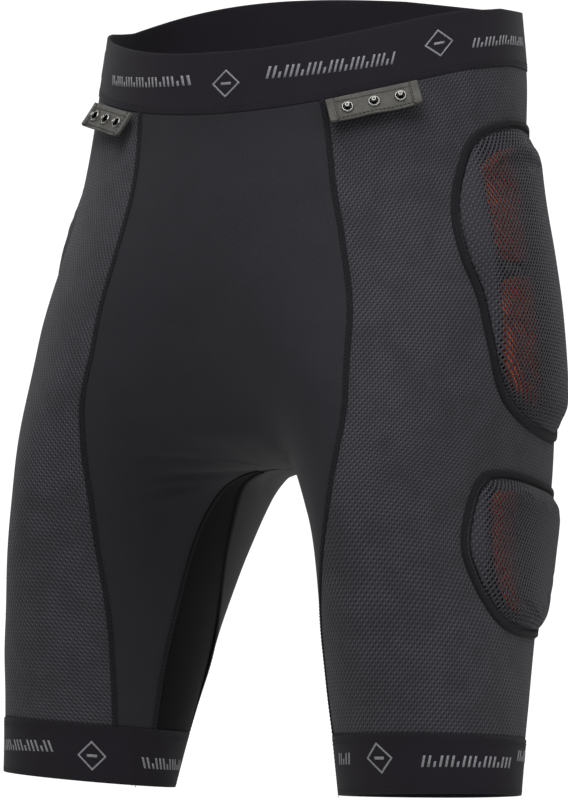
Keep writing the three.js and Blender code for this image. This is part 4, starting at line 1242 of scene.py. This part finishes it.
def sew_cuffs(pitch):
    """Each cuff as a hoop of one closed profile, with stitching, print and a silicone gripper inside."""
    count = 200
    share = np.arange(count) / count
    angles = -90 + 360 * share
    for label, side in SIDES:
        sides = np.full(count, float(side))
        part = hoop_part(share, sides, band_profile(CUFF_TOP - 0.6, HEM, 0, CUFF_WALL, 18, 0.8))
        sew(f"leg_cuff_elastic_{label}", part, "cuff_fabric", stands_for=[f"leg_cuff_{label}"])
        rows = []
        for level in (CUFF_TOP + 2.6, CUFF_TOP + 4.6, HEM - 3.0):
            path, normals = hoop_path(level, CUFF_WALL, share, sides)
            point, normal, ahead = even_path(path, normals, pitch, closed=True)
            rows.append(dashes(point, ahead, normal, pitch * 0.8, 0.4, 0.0))
        join = np.linspace(CUFF_TOP + 1, HEM - 1, 12)
        path, normals = body(np.full(12, -62.0), join, CUFF_WALL, side, cloth=False)
        rows.append(stitches(path, normals, pitch, (-1.2, 1.2), pitch * 0.8, 0.5, 0.02))
        sew(f"leg_cuff_topstitch_{label}", join_parts(rows), "thread")
        base = CUFF_WALL
        prints = [bar_row(side, (98, 500), (150, 500), 7, base)]
        if side < 0:
            prints += [bar_row(side, (-7.5, 504), (47.8, 507), 7, base), badge(side, (-34, 508), 9.5, base),
                       bar_row(side, (-111.5, 510), (-66, 510), 7, base)]
        else:
            prints += [bar_row(side, (-41, 503), (-24, 503), 7, base), badge(side, (-1, 503), 9.5, base),
                       bar_row(side, (26, 505), (90, 505), 7, base)]
        sew(f"leg_cuff_print_{label}", join_parts(prints), "print")
        beads = []
        for middle in (CUFF_TOP + 9, (CUFF_TOP + HEM) / 2, HEM - 9):
            wave = 1.6 * np.sin(np.radians(angles) * 24)
            path, normals = body(angles, middle + wave, 0.0, side, cloth=False)
            path, normals, _ = even_path(path, normals, 2.0, closed=True)
            beads.append(carry(path, -normals, dome(2.4, 0.9), closed=True))
        sew(f"gripper_beads_{label}", join_parts(beads), "silicone", stands_for=[f"cuff_gripper_{label}"])


# ---- Popper tapes -------------------------------------------------------------------------------------

TAPE_ANGLE, TAPE_TURN, TAPE_STAND = 39.75, 2.75, 20.0
TAPE_WIDTH, TAPE_DROP, TAPE_WALL = 61.0, 18.0, 1.4
TAPE_CLEARANCE, TAPE_MARGIN = 0.7, 0.6
STUD_COUNT, STUD_PITCH = 3, 17.5


def tape_frame(side):
    """Origin and the three directions of a tape: along its hinge line, out of its face and up it."""
    level = BAND_HEIGHT + 1
    angle = TAPE_ANGLE + side * TAPE_TURN
    hinge, normal = body(angle, level, BAND_WALL + TAPE_CLEARANCE + TAPE_WALL / 2, cloth=False)
    before, _ = body(angle - 1, level, 0.0, cloth=False)
    after, _ = body(angle + 1, level, 0.0, cloth=False)
    up = np.cross(normal, after - before)
    up *= np.sign(up[2]) / np.linalg.norm(up)
    stand = math.radians(TAPE_STAND)
    face = normal * math.cos(stand) + up * math.sin(stand)
    rise_way = up * math.cos(stand) - normal * math.sin(stand)
    hinge, face, rise_way = (v * (side, 1, 1) for v in (hinge, face, rise_way))
    return hinge, np.stack([np.cross(face, rise_way), face, rise_way])


def on_tape(side, x, y, z):
    hinge, ways = tape_frame(side)
    return hinge + np.stack(np.broadcast_arrays(x, y, z), -1) @ ways


def tape_bow(x, z):
    """How far the cloth of the tape stands off its flat: a slow bow and a ripple along its free edge."""
    low = np.clip(-z / TAPE_DROP, 0, 1)
    return 0.35 * np.sin(x / 9.0) * low + 0.5 * np.sin(x / 4.6 + 1.3) * low ** 3


def tape_part(side, left, right, top, bottom, low, high, columns, rows):
    """A stretch of cloth in the tape's own plane between two heights off it, with round corners."""
    x = np.linspace(left, right, columns)[None, :]
    z = np.linspace(top, bottom, rows)[:, None]
    x, z = np.broadcast_arrays(x, z)
    corner = 2.2
    near = np.clip((z - (bottom + corner)) / -corner, 0, 1)
    pull = corner * (1 - np.sqrt(1 - near ** 2))
    middle, half = (left + right) / 2, (right - left) / 2
    x = middle + (x - middle) * (half - pull) / half
    edge = np.minimum.reduce([x - x.min(1, keepdims=True), x.max(1, keepdims=True) - x, top - z + 9,
                              z - bottom])
    soft = 0.35 * (1 - soft_step(edge / 0.9))
    bow = tape_bow(x, z)
    upper = on_tape(side, x, bow + high - soft, z)
    lower = on_tape(side, x, bow + low + soft, z)
    points, faces, _ = raised(upper, lower)
    uv = np.stack([x, z], -1).reshape(-1, 2)
    return points, faces, np.concatenate([uv, uv])


def turned(side, x, z, y, profile, segments, teeth=0, bite=0.0, way=1):
    """A profile of (radius, height, toothing) turned about an axis out of the tape at (x, z), starting
    at height y; toothing draws the radius in and out by bite, teeth times round. UV is (radius, height)."""
    turn = 2 * np.pi * np.arange(segments) / segments
    radius = profile[:, :1] + profile[:, 2:] * bite * np.cos(teeth * turn)[None]
    height = y + way * profile[:, 1:2] + 0 * turn
    points = on_tape(side, x + radius * np.cos(turn), height, z + radius * np.sin(turn))
    faces = quads(len(profile), segments, wrap_columns=True)
    centre = on_tape(side, x, y + way * profile[:, 1].mean(), z)
    faces = outward(points, faces, points - centre)
    uv = np.broadcast_to(profile[:, None, :2], points.shape[:2] + (2,))
    return points.reshape(-1, 3), faces, uv.reshape(-1, 2)


STUD_PROFILE = np.array([
    (0, 0, 0), (3.7, 0, 0), (4.0, 0.15, 0.3), (4.0, 0.5, 0.3), (3.8, 0.95, 0.5), (3.45, 1.2, 0.6),
    (3.1, 1.2, 0.8),
    (2.85, 0.95, 1), (2.7, 0.5, 1), (2.35, 0.22, 0.4), (1.9, 0.15, 0), (1.55, 0.3, 0), (1.45, 0.6, 0),
    (1.45, 2.3, 0), (1.6, 2.6, 0), (1.7, 2.95, 0), (1.62, 3.3, 0), (1.35, 3.55, 0), (1.0, 3.6, 0),
    (0.7, 3.45, 0), (0.5, 2.7, 0), (0, 2.6, 0),
], float)
RIVET_PROFILE = np.array([
    (0, 0, 0), (3.3, 0, 0), (3.6, 0.12, 0), (3.6, 0.35, 0), (3.3, 0.62, 0), (2.6, 0.82, 0), (1.4, 0.9, 0),
    (0, 0.9, 0),
], float)


def sew_poppers(pitch):
    """Snap tapes: a doubled cloth strip with folded ends and stitching, and its studs and their backs."""
    half, wall = TAPE_WIDTH / 2, TAPE_WALL / 2
    low = -TAPE_MARGIN - TAPE_DROP
    for label, side in SIDES:
        rider = f"tape_{label}"
        strip = tape_part(side, -half, half, -TAPE_MARGIN, low, -wall, wall * 0.6, 90, 28)
        folds = [tape_part(side, left, left + 6.5, -TAPE_MARGIN, low + 0.2, wall * 0.5, wall + 0.35, 14, 28)
                 for left in (-half, half - 6.5)]
        hem = tape_part(side, -half + 5.5, half - 5.5, -TAPE_MARGIN, -TAPE_MARGIN - 3.4, wall * 0.5,
                        wall + 0.2, 70, 8)
        tape = sew(f"snap_tape_{label}", join_parts([strip, *folds, hem]), "tape", rider,
                   [f"popper_tape_{label}"])
        x = np.linspace(-half + 1.5, half - 1.5, 60)
        rows = []
        for z, reach in ((-TAPE_MARGIN - 2.4, 1.0), (low + 2.0, 0.93)):
            path = on_tape(side, x * reach, tape_bow(x * reach, np.full(60, z)) + wall * 0.75, np.full(60, z))
            normals = np.broadcast_to(tape_frame(side)[1][1], path.shape)
            rows.append(stitches(path, normals, pitch, (0.0,), pitch * 0.78, 0.45, 0.1))
        z = np.linspace(-TAPE_MARGIN - 1, low + 1, 20)
        for at in (-half + 5.2, half - 5.2):
            path = on_tape(side, np.full(20, at), tape_bow(np.full(20, at), z) + wall + 0.3, z)
            rows.append(stitches(path, np.broadcast_to(tape_frame(side)[1][1], path.shape), pitch, (0.0,),
                                 pitch * 0.78, 0.45, 0.1))
        sew(f"snap_tape_threads_{label}", join_parts(rows), "thread", rider)
        z = -TAPE_MARGIN - TAPE_DROP / 2
        for i in range(STUD_COUNT):
            x = (i - (STUD_COUNT - 1) / 2) * STUD_PITCH
            stand = float(tape_bow(np.array(x), np.array(z)))
            sew(f"snap_stud_{label}_{i + 1}",
                turned(side, x, z, stand + wall * 0.6, STUD_PROFILE, 60, 10, 0.3),
                "stud_metal", rider, [f"popper_stud_{label}_{i + 1}"])
            sew(f"snap_back_{label}_{i + 1}",
                turned(side, x, z, stand - wall + 0.05, RIVET_PROFILE, 40, way=-1),
                "stud_metal", rider, [f"popper_rivet_{label}_{i + 1}"])


# ---- Stage --------------------------------------------------------------------------------------------

CAMERA_TURN, CAMERA_RISE, CAMERA_ROLL, CAMERA_FAR = 33.5, -0.5, -0.3, 2.9
CAMERA_LENS = 195.3


def look_along(turn, rise_by, roll=0.0):
    """Right, up and back directions of a view from an azimuth and an elevation."""
    a, e, r = (math.radians(v) for v in (turn, rise_by, roll))
    back = Vector((math.sin(a) * math.cos(e), -math.cos(a) * math.cos(e), math.sin(e)))
    right = Vector((math.cos(a), math.sin(a), 0))
    up = back.cross(right)
    return right * math.cos(r) + up * math.sin(r), up * math.cos(r) - right * math.sin(r), back


def place_by(obj, right, up, back, location):
    obj.matrix_world = Matrix.Translation(location) @ Matrix((right, up, back)).transposed().to_4x4()


def set_stage():
    """Camera, soft lamps, a white surround and a pale floor well under the hems."""
    scene = bpy.context.scene
    scene.view_settings.view_transform = "Standard"
    right, _, back = look_along(CAMERA_TURN, CAMERA_RISE)
    target = right * -0.0025 + Vector((0, -0.032, -0.2626))
    camera = bpy.data.cameras.new("camera")
    camera.sensor_width, camera.lens = 36, CAMERA_LENS
    view = bpy.data.objects.new("camera", camera)
    scene.collection.objects.link(view)
    place_by(view, *look_along(CAMERA_TURN, CAMERA_RISE, CAMERA_ROLL), target + back * CAMERA_FAR)
    scene.camera = view
    # each lamp: turn from the camera, height angle, distance, size, power
    for name, turn, rise_by, far, size, power in (
        ("key", -20, 52, 2.6, 1.8, 46), ("fill", 45, 18, 2.6, 2.0, 16), ("top", 0, 80, 2.2, 1.8, 22),
        ("behind_left", -140, 25, 2.4, 1.4, 12), ("behind_right", 140, 25, 2.4, 1.4, 12),
    ):
        lamp = bpy.data.lights.new(name, "AREA")
        lamp.size, lamp.energy = size, power
        obj = bpy.data.objects.new(name, lamp)
        scene.collection.objects.link(obj)
        way = look_along(CAMERA_TURN + turn, rise_by)
        place_by(obj, *way, target + way[2] * far)
    world = bpy.data.worlds.new("surround")
    scene.world = world
    world.use_nodes = True
    tree = world.node_tree
    seen = node(tree, "ShaderNodeLightPath").outputs["Is Camera Ray"]
    tree.links.new(ramp(tree, seen, 0, 1, 0.16, 1.1), tree.nodes["Background"].inputs["Strength"])
    tree.nodes["Background"].inputs["Color"].default_value = (1, 1, 1, 1)
    half, height = 1500, -750
    corner = np.array([(x * half, y * half, height) for x, y in ((-1, -1), (1, -1), (1, 1), (-1, 1))])
    made, tree, shader = start_material("matt_floor_paint", Roughness=0.9)
    shade(tree, shader, Base_Color=blend_colours(tree, speckle(tree, 60), linear("f2f2f0"), linear("ebebe9")))
    make_mesh("floor", corner, np.array([[0, 1, 2, 3]]), None, made)


# ---- Add-on -------------------------------------------------------------------------------------------


def tint(name, colour):
    """A colour that can be set, from an sRGB hex value."""
    return bpy.props.FloatVectorProperty(name=name, subtype="COLOR", size=4, min=0.0, max=1.0,
                                         default=linear(colour))


class ShortsColours(bpy.types.PropertyGroup):
    """Colours of the cloths, the foam and the print."""

    band: tint("Waistband and cuffs", "211e24")
    stretch: tint("Front and seat", "26252a")
    mesh: tint("Mesh and net", "38383d")
    inner: tint("Inner thigh", "0c0c0d")
    edge: tint("Seams and bindings", "1c1a1e")
    thread: tint("Thread", "201f23")
    foam: tint("Foam", "e0592a")
    tape: tint("Popper tape", "4e4d49")
    ink: tint("Print", "87878c")


def measure(name, description, default, least, most):
    """A length property, in metres."""
    return bpy.props.FloatProperty(name=name, description=description, default=default, min=least, max=most,
                                   subtype="DISTANCE", unit="LENGTH")


class ShortsSizes(bpy.types.PropertyGroup):
    """Sizes of the sewing."""

    seam_width: measure("Seam width", "Width of a flatlock seam", 0.004, 0.003, 0.01)
    seam_height: measure("Seam height", "How far a flatlock seam stands up", 0.0008, 0.0003, 0.002)
    stitch_pitch: measure("Stitch pitch", "Length of one stitch", 0.0026, 0.0015, 0.006)
    binding_width: measure("Binding width", "Width of a pocket's bound edge", 0.005, 0.003, 0.009)
    puff_pressure: bpy.props.FloatProperty(
        name="Puff pressure", description="Pressure that fills the pocket covers", default=4.0, min=0.0,
        max=20.0)
    puff_limit: measure("Puff limit", "The most that a cover's point may move", 0.0014, 0.0, 0.01)


class SHORTS_OT_panels(bpy.types.Operator):
    """Sew the front, the seat, the side meshes and the inner thigh panels"""
    bl_idname = "shorts.panels"
    bl_label = "Panels"

    def execute(self, context):
        sew_panels()
        return {"FINISHED"}


class SHORTS_OT_seams(bpy.types.Operator):
    """Sew the flatlock seams over the panels' edges"""
    bl_idname = "shorts.seams"
    bl_label = "Seams"

    def execute(self, context):
        sizes = context.scene.shorts_sizes
        sew_seams(sizes.seam_width / MM, sizes.seam_height / MM, sizes.stitch_pitch / MM)
        return {"FINISHED"}


class SHORTS_OT_waistband(bpy.types.Operator):
    """Make the elastic waistband with its stitching and print"""
    bl_idname = "shorts.waistband"
    bl_label = "Waistband"

    def execute(self, context):
        sew_waistband(context.scene.shorts_sizes.stitch_pitch / MM)
        return {"FINISHED"}


class SHORTS_OT_pads(bpy.types.Operator):
    """Make the foam pads, their net covers and their bound edges"""
    bl_idname = "shorts.pads"
    bl_label = "Pads"

    def execute(self, context):
        sizes = context.scene.shorts_sizes
        sew_pads(sizes.binding_width / MM, sizes.stitch_pitch / MM, sizes.puff_pressure, sizes.puff_limit)
        return {"FINISHED"}


class SHORTS_OT_cuffs(bpy.types.Operator):
    """Make the leg cuffs with their stitching, print and grippers"""
    bl_idname = "shorts.cuffs"
    bl_label = "Cuffs"

    def execute(self, context):
        sew_cuffs(context.scene.shorts_sizes.stitch_pitch / MM)
        return {"FINISHED"}


class SHORTS_OT_poppers(bpy.types.Operator):
    """Make the snap tapes with their studs"""
    bl_idname = "shorts.poppers"
    bl_label = "Popper tapes"

    def execute(self, context):
        sew_poppers(context.scene.shorts_sizes.stitch_pitch / MM)
        return {"FINISHED"}


class SHORTS_OT_stage(bpy.types.Operator):
    """Set the camera, the lamps, the surround and the floor"""
    bl_idname = "shorts.stage"
    bl_label = "Stage"

    def execute(self, context):
        set_stage()
        return {"FINISHED"}


OPERATORS = (SHORTS_OT_panels, SHORTS_OT_seams, SHORTS_OT_waistband, SHORTS_OT_pads, SHORTS_OT_cuffs,
             SHORTS_OT_poppers, SHORTS_OT_stage)


class SHORTS_PT_workroom(bpy.types.Panel):
    """Lists the sizes and the steps"""
    bl_idname = "SHORTS_PT_workroom"
    bl_label = "Padded Impact Shorts"
    bl_space_type = "VIEW_3D"
    bl_region_type = "UI"
    bl_category = "Shorts"

    def draw(self, context):
        sizes = context.scene.shorts_sizes
        for key in ShortsSizes.__annotations__:
            self.layout.prop(sizes, key)
        for key in ShortsColours.__annotations__:
            self.layout.prop(context.scene.shorts_colours, key)
        for operator in OPERATORS:
            self.layout.operator(operator.bl_idname)


CLASSES = (ShortsSizes, ShortsColours, *OPERATORS, SHORTS_PT_workroom)


def register():
    for item in CLASSES:
        bpy.utils.register_class(item)
    bpy.types.Scene.shorts_sizes = bpy.props.PointerProperty(type=ShortsSizes)
    bpy.types.Scene.shorts_colours = bpy.props.PointerProperty(type=ShortsColours)


def unregister():
    del bpy.types.Scene.shorts_colours
    del bpy.types.Scene.shorts_sizes
    for item in reversed(CLASSES):
        bpy.utils.unregister_class(item)


def main():
    register()
    for operator in OPERATORS:
        group, name = operator.bl_idname.split(".")
        getattr(getattr(bpy.ops, group), name)()
    bpy.context.view_layer.update()


if __name__ == "__main__":
    main()
